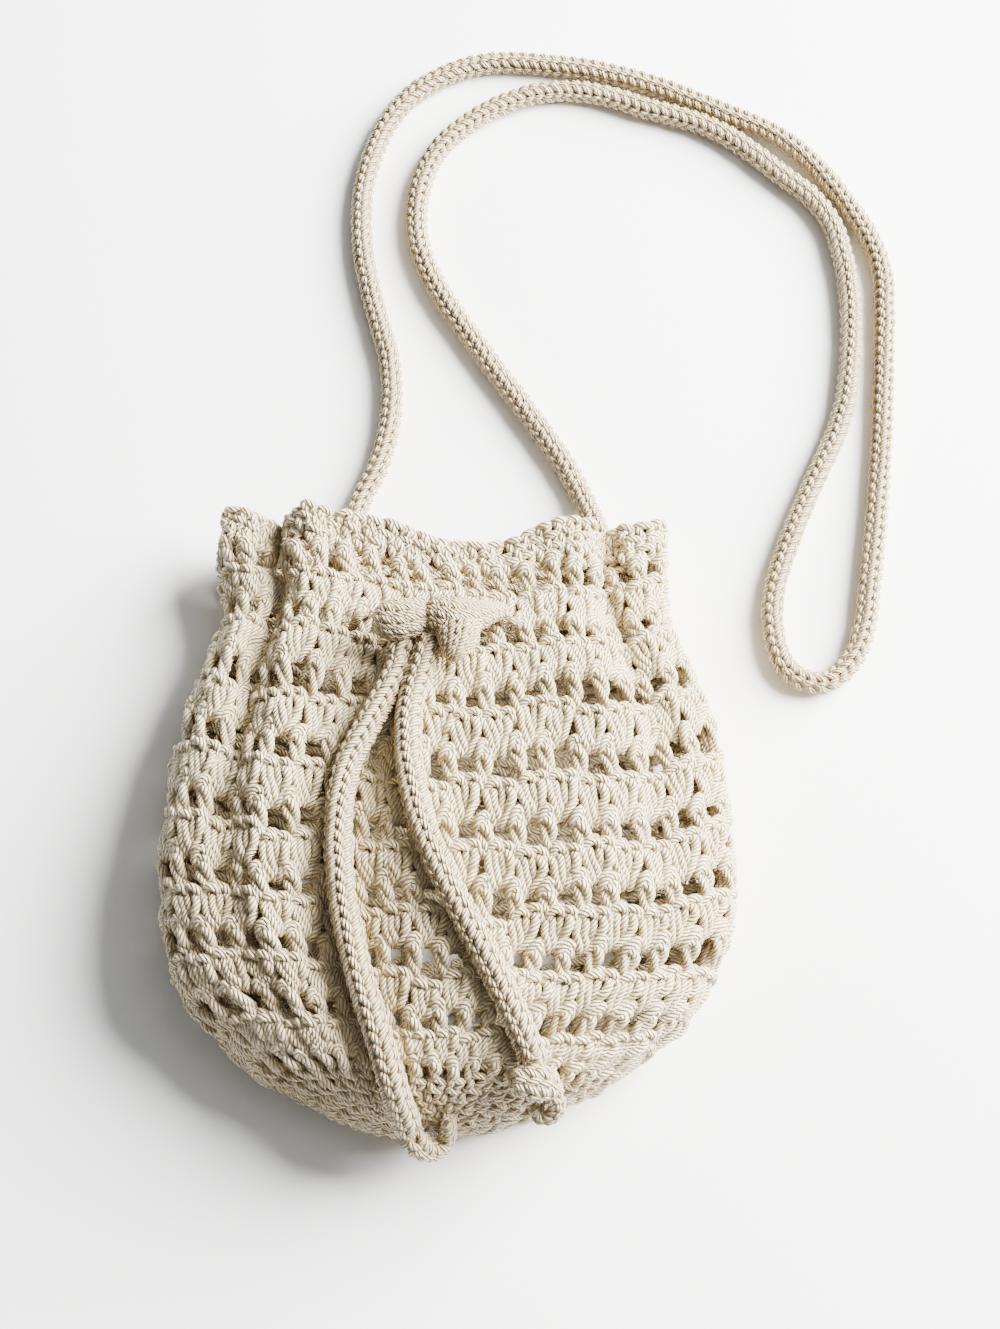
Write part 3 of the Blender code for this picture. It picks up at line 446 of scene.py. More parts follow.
def section_column(name, up):
    """One column of the sections at shares of the way up, ready to multiply a row of turns."""
    places = np.array([section.up for section in SECTIONS])
    values = np.array([getattr(section, name) for section in SECTIONS])
    return smooth_curve(up, places, values)[:, None]


def smooth_step(low, high, at):
    """Nothing at the low place, one at the high place, and smooth between them."""
    t = np.clip((at - low) / (high - low), 0.0, 1.0)
    return t * t * (3 - 2 * t)


def normals_of(points):
    """Outward normals of a grid of points, rows going up the bag and columns going round it."""
    around = np.roll(points, -1, axis=1) - np.roll(points, 1, axis=1)
    along = np.gradient(points, axis=0)
    normal = np.cross(along, around)
    length = np.linalg.norm(normal, axis=2, keepdims=True)
    normal = normal / np.maximum(length, 1e-12)
    middle = normal[1].mean(axis=0)
    normal[0] = middle / np.linalg.norm(middle)
    return normal


def softened(normal):
    """Normals averaged with their neighbours, so that the stitches in tight corners don't cross."""
    for _ in range(NORMAL_PASSES):
        around = sum(np.roll(normal, shift, axis=1) for shift in range(-NORMAL_REACH, NORMAL_REACH + 1))
        padded = np.concatenate([around[:1], around, around[-1:]])
        normal = padded[:-2] + padded[1:-1] + padded[2:]
        normal = normal / np.linalg.norm(normal, axis=2, keepdims=True)
    return normal


def even_rings(points):
    """The same rings with their points evenly spaced round the right half and round the left half."""
    rows, columns = points.shape[:2]
    half = columns // 2
    closed = np.concatenate([points, points[:, :1]], axis=1)
    step = np.linalg.norm(np.diff(closed, axis=1), axis=2)
    even = np.empty((rows, FINE_COLUMNS, 3))
    wanted = np.linspace(0.0, 1.0, FINE_COLUMNS // 2, endpoint=False)
    for row in range(rows):
        for first in (0, half):
            run = np.concatenate([[0.0], np.cumsum(step[row, first:first + half])])
            run = run / run[-1] if run[-1] > 1e-9 else np.linspace(0.0, 1.0, half + 1)
            place = 0 if first == 0 else FINE_COLUMNS // 2
            for axis in range(3):
                values = closed[row, first:first + half + 1, axis]
                even[row, place:place + FINE_COLUMNS // 2, axis] = np.interp(wanted, run, values)
    return even


def bag_surface():
    """The outside of the bag: a fine grid from the middle of the base to the rim, and its normals.

    It is made as the CAD's is, from the sections and folds above, and its rows then slide up at the sides.
    """
    up = np.linspace(0.0, 1.0, FINE_ROWS)
    turn = np.linspace(0.0, 1.0, 2 * FINE_COLUMNS, endpoint=False)
    sine, cosine = np.sin(2 * math.pi * turn), np.cos(2 * math.pi * turn)
    power = np.where(cosine > 0, BACK_POWER, FRONT_POWER)
    side = np.sign(sine) * np.abs(sine) ** (2 / power)
    face = 0.5 - 0.5 * np.sign(cosine) * np.abs(cosine) ** (2 / power)
    left, right = section_column("left", up), section_column("right", up)
    front, back = section_column("front", up), section_column("back", up)
    top, low = section_column("top", up), section_column("low", up)
    x = ((left + right) / 2 + (right - left) / 2 * side) * BAG_WIDTH / 2
    y = (back + (front - back) * face - 0.5) * BAG_LENGTH
    z = (low + (top - low) * face) * BAG_DEPTH
    near_rim = smooth_step(FOLD_LEVELS[-2], FOLD_LEVELS[-1], up)[:, None]
    skewed = smooth_step(SKEW_START, SKEW_FULL, up)[:, None] * (1.0 - SKEW_EASE_AT_RIM * near_rim)
    y = y - ROW_SKEW * skewed * side * face
    points = np.stack([x, y, z], axis=2)
    normal = normals_of(points)
    levels = np.array(FOLD_LEVELS)
    for fold in FOLDS:
        depths = np.array([0.0, fold.foot, fold.belly, fold.neck, fold.rim])
        depth = smooth_curve(up, levels, depths)[:, None] * smooth_step(0.0, levels[1], up)[:, None]
        middle = fold.foot_at + (fold.rim_at - fold.foot_at) * smooth_step(levels[1], 1.0, up)[:, None]
        profile = np.exp(-0.5 * ((turn[None, :] - middle) / fold.spread) ** 2)
        points = points - normal * (FOLD_DEPTH * depth * profile)[:, :, None]
        points[:, :, 1] += RIM_WAVE * fold.lift * near_rim * profile
    points[:, :, 2] = np.maximum(points[:, :, 2] - FLAT_SINK, 0.0)
    points = even_rings(points)
    least, most = points.min(axis=(0, 1)), points.max(axis=(0, 1))
    size = np.array([BAG_WIDTH, BAG_LENGTH, BAG_DEPTH])
    points = (points - least) / (most - least) * size - size * np.array([0.5, 0.5, 0.0])
    normal = softened(normals_of(points))
    risen = up[:, None] + row_rise(up[:, None], np.linspace(0.0, 1.0, FINE_COLUMNS, endpoint=False)[None, :])
    return slid(points, up, risen), slid(normal, up, risen)


def row_rise(up, turn):
    """How much higher than evenly the rows lie on the surface at each place: they climb at the bag's sides."""
    whole = smooth_step(0.0, ROW_RISE_FULL, up) * (1.0 - smooth_step(ROW_RISE_EASED, 1.0, up))
    rise = sum(amount * np.exp(-0.5 * ((turn - at) / spread) ** 2) for at, spread, amount in ROW_RISES)
    return rise * whole


def slid(values, up, wanted):
    """The values of each column of a grid, read at other places along it."""
    made = np.empty_like(values)
    for column in range(values.shape[1]):
        for axis in range(3):
            made[:, column, axis] = np.interp(wanted[:, column], up, values[:, column, axis])
    return made


def even_route(points, count):
    """Evenly spaced points on a smooth curve through the chosen ones, of any number of values each."""
    points = np.array(points, dtype=float)
    padded = np.concatenate([[2 * points[0] - points[1]], points, [2 * points[-1] - points[-2]]])
    steps = np.linspace(0.0, 1.0, CURVE_STEPS, endpoint=False)[:, None]
    fine = []
    for k in range(len(points) - 1):
        a, b, c, d = padded[k:k + 4]
        bend = (2 * a - 5 * b + 4 * c - d) * steps**2 + (3 * b - a - 3 * c + d) * steps**3
        fine.append(0.5 * (2 * b + (c - a) * steps + bend))
    fine = np.concatenate(fine + [points[-1:]])
    run = lengths_along(fine[:, :3])
    wanted = np.linspace(0.0, run[-1], count)
    return np.stack([np.interp(wanted, run, fine[:, axis]) for axis in range(fine.shape[1])], axis=1)


def lengths_along(points):
    """How far along a line each of its points is."""
    return np.concatenate([[0.0], np.cumsum(np.linalg.norm(np.diff(points, axis=0), axis=1))])


def linked(name, data):
    """A new object in the scene."""
    made = bpy.data.objects.new(name, data)
    bpy.context.scene.collection.objects.link(made)
    return made


# Node trees

def add(tree, kind, inputs=None, **settings):
    """A new node with its settings, and its inputs set or linked by name or by number."""
    made = tree.nodes.new(kind)
    for name, value in settings.items():
        setattr(made, name, value)
    for name, value in (inputs or {}).items():
        socket = made.inputs[name] if isinstance(name, int) else named(made.inputs, name)
        if isinstance(value, bpy.types.Node):
            value = named(value.outputs)
        if isinstance(value, bpy.types.NodeSocket):
            tree.links.new(value, socket)
        else:
            socket.default_value = value
    return made


def named(sockets, name=None):
    """The first socket in use that has this name, or the first in use."""
    return next(socket for socket in sockets if socket.enabled and name in (None, socket.name))


def stitch_tree():
    """Repeats a flat stitch at each point of a chart, lays it on a guide's surface and makes the yarn round."""
    tree = bpy.data.node_groups.new("stitches_laid_on_a_surface", "GeometryNodeTree")
    tree.is_modifier = True
    sockets = (
        ("Chart", "NodeSocketGeometry"), ("Stitch", "NodeSocketObject"), ("Guide", "NodeSocketObject"),
        ("Yarn Radius", "NodeSocketFloat"), ("Yarn Sides", "NodeSocketInt"), ("Floor", "NodeSocketFloat"),
        ("Unevenness", "NodeSocketFloat"), ("Row Drift", "NodeSocketFloat"), ("Core Depth", "NodeSocketFloat"),
        ("Seed", "NodeSocketInt"), ("Yarn", "NodeSocketMaterial"),
    )
    for name, kind in sockets:
        tree.interface.new_socket(name=name, in_out="INPUT", socket_type=kind)
    tree.interface.new_socket(name="Crochet", in_out="OUTPUT", socket_type="NodeSocketGeometry")
    given = add(tree, "NodeGroupInput")
    result = add(tree, "NodeGroupOutput")
    values = {name: named(given.outputs, name) for name, _ in sockets}

    def attribute(name, kind="FLOAT"):
        return named(add(tree, "GeometryNodeInputNamedAttribute", {"Name": name}, data_type=kind).outputs, "Attribute")

    def store(geometry, name, value, kind="FLOAT"):
        return add(
            tree, "GeometryNodeStoreNamedAttribute", {"Geometry": geometry, "Name": name, "Value": value},
            data_type=kind, domain="POINT",
        )

    def maths(operation, *inputs):
        return add(tree, "ShaderNodeMath", dict(enumerate(inputs)), operation=operation)

    def vectors(operation, *inputs):
        return add(tree, "ShaderNodeVectorMath", dict(enumerate(inputs)), operation=operation)

    def scaled(vector, amount):
        return add(tree, "ShaderNodeVectorMath", {0: vector, "Scale": amount}, operation="SCALE")

    # one stitch at each point of the chart, as wide and as high as the chart says there
    stitch = add(tree, "GeometryNodeObjectInfo", {"Object": values["Stitch"]}, transform_space="ORIGINAL")
    strands = store(named(stitch.outputs, "Geometry"), "strand_share", add(tree, "GeometryNodeInputRadius"))
    numbered = store(values["Chart"], "stitch_number", add(tree, "GeometryNodeInputIndex"), "INT")
    size = add(tree, "ShaderNodeCombineXYZ", {"X": attribute("cell_width"), "Y": attribute("cell_height"), "Z": 1.0})
    repeated = add(
        tree, "GeometryNodeInstanceOnPoints", {"Points": numbered, "Instance": strands, "Scale": size}
    )
    flat = add(tree, "GeometryNodeRealizeInstances", {"Geometry": repeated})

    # each stitch a little off its place, as in handwork
    shift = add(
        tree, "FunctionNodeRandomValue",
        {"Min": (-1.0, -1.0, -1.0), "Max": (1.0, 1.0, 1.0), "ID": attribute("stitch_number", "INT"),
         "Seed": values["Seed"]},
        data_type="FLOAT_VECTOR",
    )
    loose = add(
        tree, "ShaderNodeCombineXYZ",
        {"X": maths("MULTIPLY", attribute("cell_width"), values["Unevenness"]),
         "Y": maths("MULTIPLY", attribute("cell_height"), values["Unevenness"]),
         "Z": maths("MULTIPLY", values["Yarn Radius"], values["Unevenness"])},
    )
    place = vectors("MULTIPLY_ADD", shift, loose, add(tree, "GeometryNodeInputPosition"))
    axes = add(tree, "ShaderNodeSeparateXYZ", {0: place})
    around = maths("FRACT", named(axes.outputs, "X"))
    along = add(
        tree, "ShaderNodeClamp", {"Value": named(axes.outputs, "Y"), "Min": CHART_EDGE, "Max": 1.0 - CHART_EDGE}
    )
    depth = named(axes.outputs, "Z")
    spot = add(tree, "ShaderNodeCombineXYZ", {"X": around, "Y": along})

    # laid on the guide
    guide = add(tree, "GeometryNodeObjectInfo", {"Object": values["Guide"]}, transform_space="ORIGINAL")
    surface = named(guide.outputs, "Geometry")

    def on_guide(value):
        return named(add(
            tree, "GeometryNodeSampleUVSurface",
            {"Mesh": surface, "Value": value, "UV Map": attribute("chart_place", "FLOAT_VECTOR"), "Sample UV": spot},
            data_type="FLOAT_VECTOR",
        ).outputs, "Value")

    outward = on_guide(attribute("outward", "FLOAT_VECTOR"))
    laid = vectors("ADD", on_guide(add(tree, "GeometryNodeInputPosition")), scaled(outward, depth))
    drifting = laid
    strand_drift = maths("MULTIPLY", values["Yarn Radius"], maths("MULTIPLY", values["Unevenness"], WOBBLE_SHARE))
    for scale, reach in ((STRAND_WOBBLE, strand_drift), (ROW_WOBBLE, values["Row Drift"])):
        noise = add(tree, "ShaderNodeTexNoise", {"Vector": laid, "Scale": scale, "Detail": 1.0}, noise_dimensions="3D")
        drift = vectors("SUBTRACT", named(noise.outputs, "Color"), (0.5, 0.5, 0.5))
        drifting = vectors("ADD", drifting, scaled(drift, reach))
    moved = add(tree, "ShaderNodeSeparateXYZ", {0: drifting})
    lowest = maths("ADD", values["Floor"], values["Yarn Radius"])
    final = add(
        tree, "ShaderNodeCombineXYZ",
        {"X": named(moved.outputs, "X"), "Y": named(moved.outputs, "Y"),
         "Z": maths("MAXIMUM", named(moved.outputs, "Z"), lowest)},
    )
    deep_strands = store(flat, "strand_depth", depth)
    kept = store(deep_strands, "strand_outward", outward, "FLOAT_VECTOR")
    curved = add(tree, "GeometryNodeSetPosition", {"Geometry": kept, "Position": final})

    # round yarn, with its own length and turn kept for the twist of its plies
    length = named(add(tree, "GeometryNodeSplineParameter").outputs, "Length")
    offset = maths("MULTIPLY", attribute("stitch_number", "INT"), TWIST_OFFSET)
    measured = store(curved, "yarn_along", maths("ADD", length, offset))
    ring = add(
        tree, "GeometryNodeCurvePrimitiveCircle",
        {"Resolution": values["Yarn Sides"], "Radius": values["Yarn Radius"]}, mode="RADIUS",
    )
    turned = store(ring, "yarn_turn", vectors("NORMALIZE", add(tree, "GeometryNodeInputPosition")), "FLOAT_VECTOR")
    round_yarn = add(
        tree, "GeometryNodeCurveToMesh",
        {"Curve": measured, "Profile Curve": turned, "Scale": attribute("strand_share"), "Fill Caps": True},
    )
    # how far each point of the yarn lies below the crochet's surface, for the shade that the cotton paints into the
    # gaps between the stitches; the inner sides are lifted out of it
    facing = vectors("DOT_PRODUCT", add(tree, "GeometryNodeInputNormal"), attribute("strand_outward", "FLOAT_VECTOR"))
    turned_out = named(facing.outputs, "Value")
    rise = maths("MULTIPLY_ADD", turned_out, values["Yarn Radius"], attribute("strand_depth"))
    inner_side = maths("LESS_THAN", turned_out, INNER_SIDE)
    rise = maths("MULTIPLY_ADD", inner_side, INNER_LIFT, rise)
    yarn_with_shade_depth = store(round_yarn, "surface_depth", rise)

    # the stuffing of a cord: the guide itself, pulled in
    inward = scaled(attribute("outward", "FLOAT_VECTOR"), maths("MULTIPLY", values["Core Depth"], -1.0))
    core = add(tree, "GeometryNodeSetPosition", {"Geometry": surface, "Offset": inward})
    # the stuffing gets a fixed depth, so that the cotton paints it with the shade of a deep gap
    deep = store(core, "surface_depth", CORE_SHADE_DEPTH)
    has_core = add(
        tree, "FunctionNodeCompare", {"A": values["Core Depth"], "B": 0.0}, data_type="FLOAT",
        operation="GREATER_THAN",
    )
    chosen = add(tree, "GeometryNodeSwitch", {"Switch": has_core, "True": deep}, input_type="GEOMETRY")
    joined = add(tree, "GeometryNodeJoinGeometry")
    tree.links.new(named(chosen.outputs), joined.inputs[0])
    tree.links.new(named(yarn_with_shade_depth.outputs), joined.inputs[0])
    smooth = add(tree, "GeometryNodeSetShadeSmooth", {"Geometry": joined, "Shade Smooth": True})
    whole = add(tree, "GeometryNodeRealizeInstances", {"Geometry": smooth})
    finished = add(tree, "GeometryNodeSetMaterial", {"Geometry": whole, "Material": values["Yarn"]})
    tree.links.new(named(finished.outputs), result.inputs[0])
    return tree


def yarn_group():
    """The twist and fibres of cotton yarn from its kept turn and length, and shade painted into its grooves and gaps.
    """
    tree = bpy.data.node_groups.new("twisted_cotton", "ShaderNodeTree")
    sockets = (
        ("Light Colour", "NodeSocketColor"), ("Deep Colour", "NodeSocketColor"), ("Plies", "NodeSocketFloat"),
        ("Lay Length", "NodeSocketFloat"), ("Groove Shade", "NodeSocketFloat"), ("Shade Depth", "NodeSocketFloat"),
        ("Smoothness", "NodeSocketFloat"),
    )
    for name, kind in sockets:
        tree.interface.new_socket(name=name, in_out="INPUT", socket_type=kind)
    for name, kind in (("Colour", "NodeSocketColor"), ("Roughness", "NodeSocketFloat"), ("Relief", "NodeSocketFloat")):
        tree.interface.new_socket(name=name, in_out="OUTPUT", socket_type=kind)
    given, result = add(tree, "NodeGroupInput"), add(tree, "NodeGroupOutput")
    values = {name: named(given.outputs, name) for name, _ in sockets}

    def attribute(name, output):
        return named(add(tree, "ShaderNodeAttribute", attribute_name=name).outputs, output)

    def maths(operation, *inputs):
        return add(tree, "ShaderNodeMath", dict(enumerate(inputs)), operation=operation)

    def ramp(value, low, high, first, last):
        return add(
            tree, "ShaderNodeMapRange",
            {"Value": value, "From Min": low, "From Max": high, "To Min": first, "To Max": last},
        )

    def mixed(factor, first, last, blend_type="MIX"):
        made = add(tree, "ShaderNodeMix", data_type="RGBA", blend_type=blend_type)
        for name, value in (("Factor", factor), ("A", first), ("B", last)):
            socket = named(made.inputs, name)
            if isinstance(value, bpy.types.Node):
                value = named(value.outputs)
            if isinstance(value, bpy.types.NodeSocket):
                tree.links.new(value, socket)
            else:
                socket.default_value = value
        return made

    turn = add(tree, "ShaderNodeSeparateXYZ", {0: attribute("yarn_turn", "Vector")})
    angle = maths("ARCTAN2", named(turn.outputs, "Y"), named(turn.outputs, "X"))
    along = attribute("yarn_along", "Fac")
    rate = maths("DIVIDE", maths("MULTIPLY", values["Plies"], math.pi), values["Lay Length"])
    phase = maths("MULTIPLY_ADD", along, rate, maths("MULTIPLY", angle, maths("MULTIPLY", values["Plies"], -0.5)))
    ply = maths("ABSOLUTE", maths("SINE", phase))
    rounded = maths("POWER", ply, PLY_ROUNDNESS)
    place = named(add(tree, "ShaderNodeTexCoord").outputs, "Object")
    fibres = add(tree, "ShaderNodeTexNoise", {"Vector": place, "Scale": FIBRE_SCALE, "Detail": 2.0, "Roughness": 0.6})
    fibre = named(fibres.outputs, "Fac")
    relief = maths("MULTIPLY_ADD", fibre, FIBRE_RELIEF, rounded)
    # the grooves' painted shade and their roughness vary at random along the yarn
    groove_noise = add(tree, "ShaderNodeTexNoise", {"Vector": place, "Scale": GROOVE_NOISE_SCALE, "Detail": 1.0})
    groove_variation = ramp(named(groove_noise.outputs, "Fac"), 0.35, 0.65, 0.55, 1.0)
    # the grooves between the plies, where shade is painted into the colour and the yarn is rougher
    groove = maths("MULTIPLY", ramp(ply, 0.10, 0.85, 1.0, 0.0), groove_variation)
    painted_gap_shade = ramp(attribute("surface_depth", "Fac"), *GAP_DEPTHS, 0.95, 0.0)
    # the light that is left by the gap between the stitches and by the groove between the plies, painted into the
    # colour as shade
    in_gap = maths("SUBTRACT", 1.0, painted_gap_shade)
    in_groove = maths("MULTIPLY_ADD", groove, maths("MULTIPLY", values["Groove Shade"], -1.0), 1.0)
    both = maths("SUBTRACT", 1.0, maths("MULTIPLY", in_gap, in_groove))
    shade = maths("MULTIPLY", both, values["Shade Depth"])
    patches = add(tree, "ShaderNodeTexNoise", {"Vector": place, "Scale": PATCH_SCALE, "Detail": 2.0})
    tone = ramp(named(patches.outputs, "Fac"), 0.3, 0.7, 0.93, 1.05)
    # painted shade: the light colour darkened towards the painted shade colour
    base = mixed(shade, values["Light Colour"], values["Deep Colour"])
    toned = add(tree, "ShaderNodeVectorMath", {0: named(base.outputs, "Result"), "Scale": tone}, operation="SCALE")
    rough = maths("SUBTRACT", 1.0, values["Smoothness"])
    uneven = maths("MULTIPLY_ADD", groove, GROOVE_ROUGHNESS, rough)
    for name, value in (("Colour", toned), ("Roughness", uneven), ("Relief", relief)):
        tree.links.new(named(value.outputs), named(result.inputs, name))
    return tree


def yarn_material(name, group, look, relief):
    """Cotton yarn: its own colours and twist in the shared group, with a soft sheen."""
    made = bpy.data.materials.new(name)
    made.use_nodes = True
    tree = made.node_tree
    shader = tree.nodes["Principled BSDF"]
    cotton = tree.nodes.new("ShaderNodeGroup")
    cotton.node_tree = group
    for socket, value in look.items():
        cotton.inputs[socket].default_value = value
    bump = add(tree, "ShaderNodeBump", {"Height": cotton.outputs["Relief"], "Strength": 1.0, "Distance": relief})
    tree.links.new(cotton.outputs["Colour"], shader.inputs["Base Color"])
    tree.links.new(cotton.outputs["Roughness"], shader.inputs["Roughness"])
    tree.links.new(named(bump.outputs), shader.inputs["Normal"])
    shader.inputs["Sheen Weight"].default_value = 0.1
    shader.inputs["Sheen Roughness"].default_value = 0.4
    shader.inputs["Specular IOR Level"].default_value = 0.6
    return made


# Guides, charts and stitches

def guide_from_grid(name, points, outward, capped):
    """A closed tube of a grid of points, with its place on the chart and its outward direction kept on it."""
    rows, columns = points.shape[:2]
    mesh = bpy.data.meshes.new(name)
    faces, places = [], []
    for row in range(rows - 1):
        for column in range(columns):
            after = (column + 1) % columns
            faces.append((row * columns + column, row * columns + after, (row + 1) * columns + after,
                          (row + 1) * columns + column))
            low, high = row / (rows - 1), (row + 1) / (rows - 1)
            first, last = column / columns, (column + 1) / columns
            places += [(first, low), (last, low), (last, high), (first, high)]
    if capped:
        for row, order in ((0, -1), (rows - 1, 1)):
            faces.append(tuple(row * columns + column for column in range(columns))[::order])
            places += [(column / columns, row / (rows - 1)) for column in range(columns)][::order]
    mesh.from_pydata([tuple(point) for point in points.reshape(-1, 3)], [], faces)
    kept = mesh.attributes.new("chart_place", "FLOAT_VECTOR", "CORNER")
    flat = np.zeros((len(places), 3), np.float32)
    flat[:, :2] = places
    kept.data.foreach_set("vector", flat.ravel())
    direction = mesh.attributes.new("outward", "FLOAT_VECTOR", "POINT")
    direction.data.foreach_set("vector", outward.reshape(-1, 3).astype(np.float32).ravel())
    mesh.update()
    return linked(name, mesh)


def swept_guide(name, sections, rounded, upright):
    """A guide along a row of sections of x, y, z, width and height, and the line through their middles.

    Where it is rounded, its ends taper off. Where it is upright, its sections don't roll as it turns.
    """
    count = max(int(lengths_along(np.array(sections)[:, :3])[-1] / GUIDE_STEP), 8)
    fine = even_route(sections, count)
    middles, widths, heights = fine[:, :3], fine[:, 3], fine[:, 4]
    run = lengths_along(middles)
    if rounded:
        for ends in (run, run[-1] - run):
            cap = GUIDE_END_SHARE * min(widths[0], widths[-1])
            share = np.clip(ends / cap, 0.0, 1.0)
            taper = np.sqrt(np.clip(1.0 - (1.0 - share) ** 2, GUIDE_LEAST_TAPER, 1.0))
            widths, heights = widths * taper, heights * taper
    tangent = np.gradient(middles, axis=0)
    tangent /= np.linalg.norm(tangent, axis=1, keepdims=True)
    across = np.empty_like(tangent)
    side = np.cross(tangent[0], (0.0, 0.0, 1.0))
    for k, forward in enumerate(tangent):
        if upright:
            side = np.cross(forward, (0.0, 0.0, 1.0))
        side = side - forward * side.dot(forward)
        side = side / np.linalg.norm(side)
        across[k] = side
    upward = np.cross(across, tangent)
    angle = np.linspace(0.0, 2 * math.pi, GUIDE_SIDES, endpoint=False)
    wide = across[:, None] * np.cos(angle)[None, :, None]
    high = upward[:, None] * np.sin(angle)[None, :, None]
    points = middles[:, None] + wide * widths[:, None, None] / 2 + high * heights[:, None, None] / 2
    outward = wide * heights[:, None, None] + high * widths[:, None, None]
    outward /= np.linalg.norm(outward, axis=2, keepdims=True)
    return guide_from_grid(name, points[:, ::-1], outward[:, ::-1], True), middles


def stitch_curve(name, strands, size, spacing):
    """A stitch as open curves on a chart one stitch wide and one stitch high. Their radius is the yarn's share.

    The chart goes round the bag from right to left, as seen from outside.
    """
    curve = bpy.data.curves.new(name, "CURVE")
    curve.dimensions = "3D"
    for share, points in strands:
        points = np.array(points)
        count = max(int(round(lengths_along(points)[-1] / spacing)) + 1, 3)
        fine = even_route(points, count) / np.array([-size[0], size[1], 1000.0])
        spline = curve.splines.new("POLY")
        spline.points.add(len(fine) - 1)
        for point, place in zip(spline.points, fine):
            point.co = (*place, 1.0)
            point.radius = share
    return linked(name, curve)


def chart(name, cells):
    """The points of a chart: each is the place round and along, and the width and height, of one stitch."""
    cells = np.array(cells)
    mesh = bpy.data.meshes.new(name)
    mesh.from_pydata([(around, along, 0.0) for around, along in cells[:, :2]], [], [])
    for column, attribute in ((2, "cell_width"), (3, "cell_height")):
        kept = mesh.attributes.new(attribute, "FLOAT", "POINT")
        kept.data.foreach_set("value", cells[:, column].astype(np.float32))
    return linked(name, mesh)


def crochet(name, cells, stitch, guide, yarn, sides, material, unevenness, seed, row_drift=0.0, core_depth=0.0):
    """One piece of crochet: the stitch at each place of the chart, laid on the guide, as a plain mesh."""
    base = chart(name, cells)
    modifier = base.modifiers.new("stitches", "NODES")
    modifier.node_group = TREE
    settings = {
        "Stitch": stitch, "Guide": guide, "Yarn Radius": yarn / 2, "Yarn Sides": sides, "Floor": FLOOR_HEIGHT,
        "Unevenness": unevenness, "Row Drift": row_drift, "Core Depth": core_depth, "Seed": seed, "Yarn": material,
    }
    for item in TREE.interface.items_tree:
        if item.in_out == "INPUT" and item.name in settings:
            modifier[item.identifier] = settings[item.name]
    bpy.context.view_layer.update()
    depsgraph = bpy.context.evaluated_depsgraph_get()
    mesh = bpy.data.meshes.new_from_object(
        base.evaluated_get(depsgraph), preserve_all_data_layers=True, depsgraph=depsgraph
    )
    mesh.name = name
    base.modifiers.clear()
    base.data = mesh
    for spare in SPARE_ATTRIBUTES:
        if spare in mesh.attributes:
            mesh.attributes.remove(mesh.attributes[spare])
    mesh.materials.clear()
    mesh.materials.append(material)
    return base


def band_foot(band):
    """The share of the way up where a band begins."""
    return BASE_SHARE + (1.0 - BASE_SHARE - RIM_SHARE) / BANDS * band


def band_cells(band):
    """The places of the posts round one band. Two half widths of a post are one stitch of the chart."""
    first = DRAWSTRING_FIRST_POST if band == DRAWSTRING_BAND else FIRST_POST
    height = band_foot(1) - band_foot(0)
    width = 1.0 / POSTS_ROUND
    return [((2 * post + first) / (2 * POSTS_ROUND), band_foot(band), width, height) for post in range(POSTS_ROUND)]


def round_cells(count, low, high, shift):
    """The places of the stitches of one dense round."""
    return [((stitch + shift) / count, low, 1.0 / count, high - low) for stitch in range(count)]


def cord_cells(columns, pitch, length, drift):
    """The places of the stitches of a round cord, whose rounds rise by one row each turn."""
    rows = int(length / pitch)
    cells = []
    for row in range(rows):
        for column in range(columns):
            along = (row + column / columns) * pitch / length
            cells.append(((column + 0.5) / columns + drift * along, along, 1.0 / columns, pitch / length))
    return cells


def finished(piece, slot, node):
    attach(piece, "root")
    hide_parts(node)


# The camera, above the bag and a little below its middle in the picture

eye = bpy.data.cameras.new("camera")
eye.sensor_fit = "HORIZONTAL"
eye.sensor_width = SENSOR_WIDTH
eye.lens = CAMERA_LENS
camera = linked("camera", eye)
camera.location = CAMERA_PLACE
camera.rotation_euler = (math.radians(CAMERA_TILT), 0.0, 0.0)
bpy.context.scene.camera = camera

TREE = stitch_tree()
cotton = yarn_group()
bag_cotton = yarn_material("bag_cotton", cotton, CREAM_COTTON, PLY_RELIEF)
cord_cotton = yarn_material("cord_cotton", cotton, CREAM_COTTON, PLY_RELIEF)

open_stitch = stitch_curve("open_stitch", OPEN_STRANDS + OPEN_TOP_STRANDS, OPEN_BAND_SIZE, BAG_SPACING)
band_stitch = stitch_curve(
    "band_stitch", OPEN_STRANDS + OPEN_TOP_STRANDS + DENSE_STRANDS, OPEN_BAND_SIZE, BAG_SPACING
)
tight_stitch = stitch_curve("tight_stitch", TIGHT_STRANDS, TIGHT_SIZE, TIGHT_SPACING)
cord_stitch = stitch_curve("cord_stitch", CORD_STRANDS, CORD_STITCH_SIZE, CORD_SPACING)
strap_stitch = stitch_curve("strap_stitch", STRAP_STRANDS, STRAP_STITCH_SIZE, STRAP_SPACING)
fine_stitch = stitch_curve("fine_stitch", FINE_STRANDS, FINE_STITCH_SIZE, FINE_SPACING)

# The bag

bag_guide = guide_from_grid("bag_guide", *bag_surface(), False)


def bag_rows(name, cells, stitch, yarn, unevenness, seed):
    """Some rows of the bag, on its surface."""
    piece = crochet(
        name, cells, stitch, bag_guide, yarn, YARN_SIDES, bag_cotton, unevenness, seed, row_drift=BAG_ROW_DRIFT
    )
    finished(piece, "bag_yarn", "bag_body")


for band in range(BANDS - 1):
    bag_rows(f"band_{band + 1}", band_cells(band), band_stitch, BAG_YARN, BAND_UNEVENNESS, 3 + band)
bag_rows("mouth_row", band_cells(BANDS - 1), open_stitch, BAG_YARN, BAND_UNEVENNESS, 21)

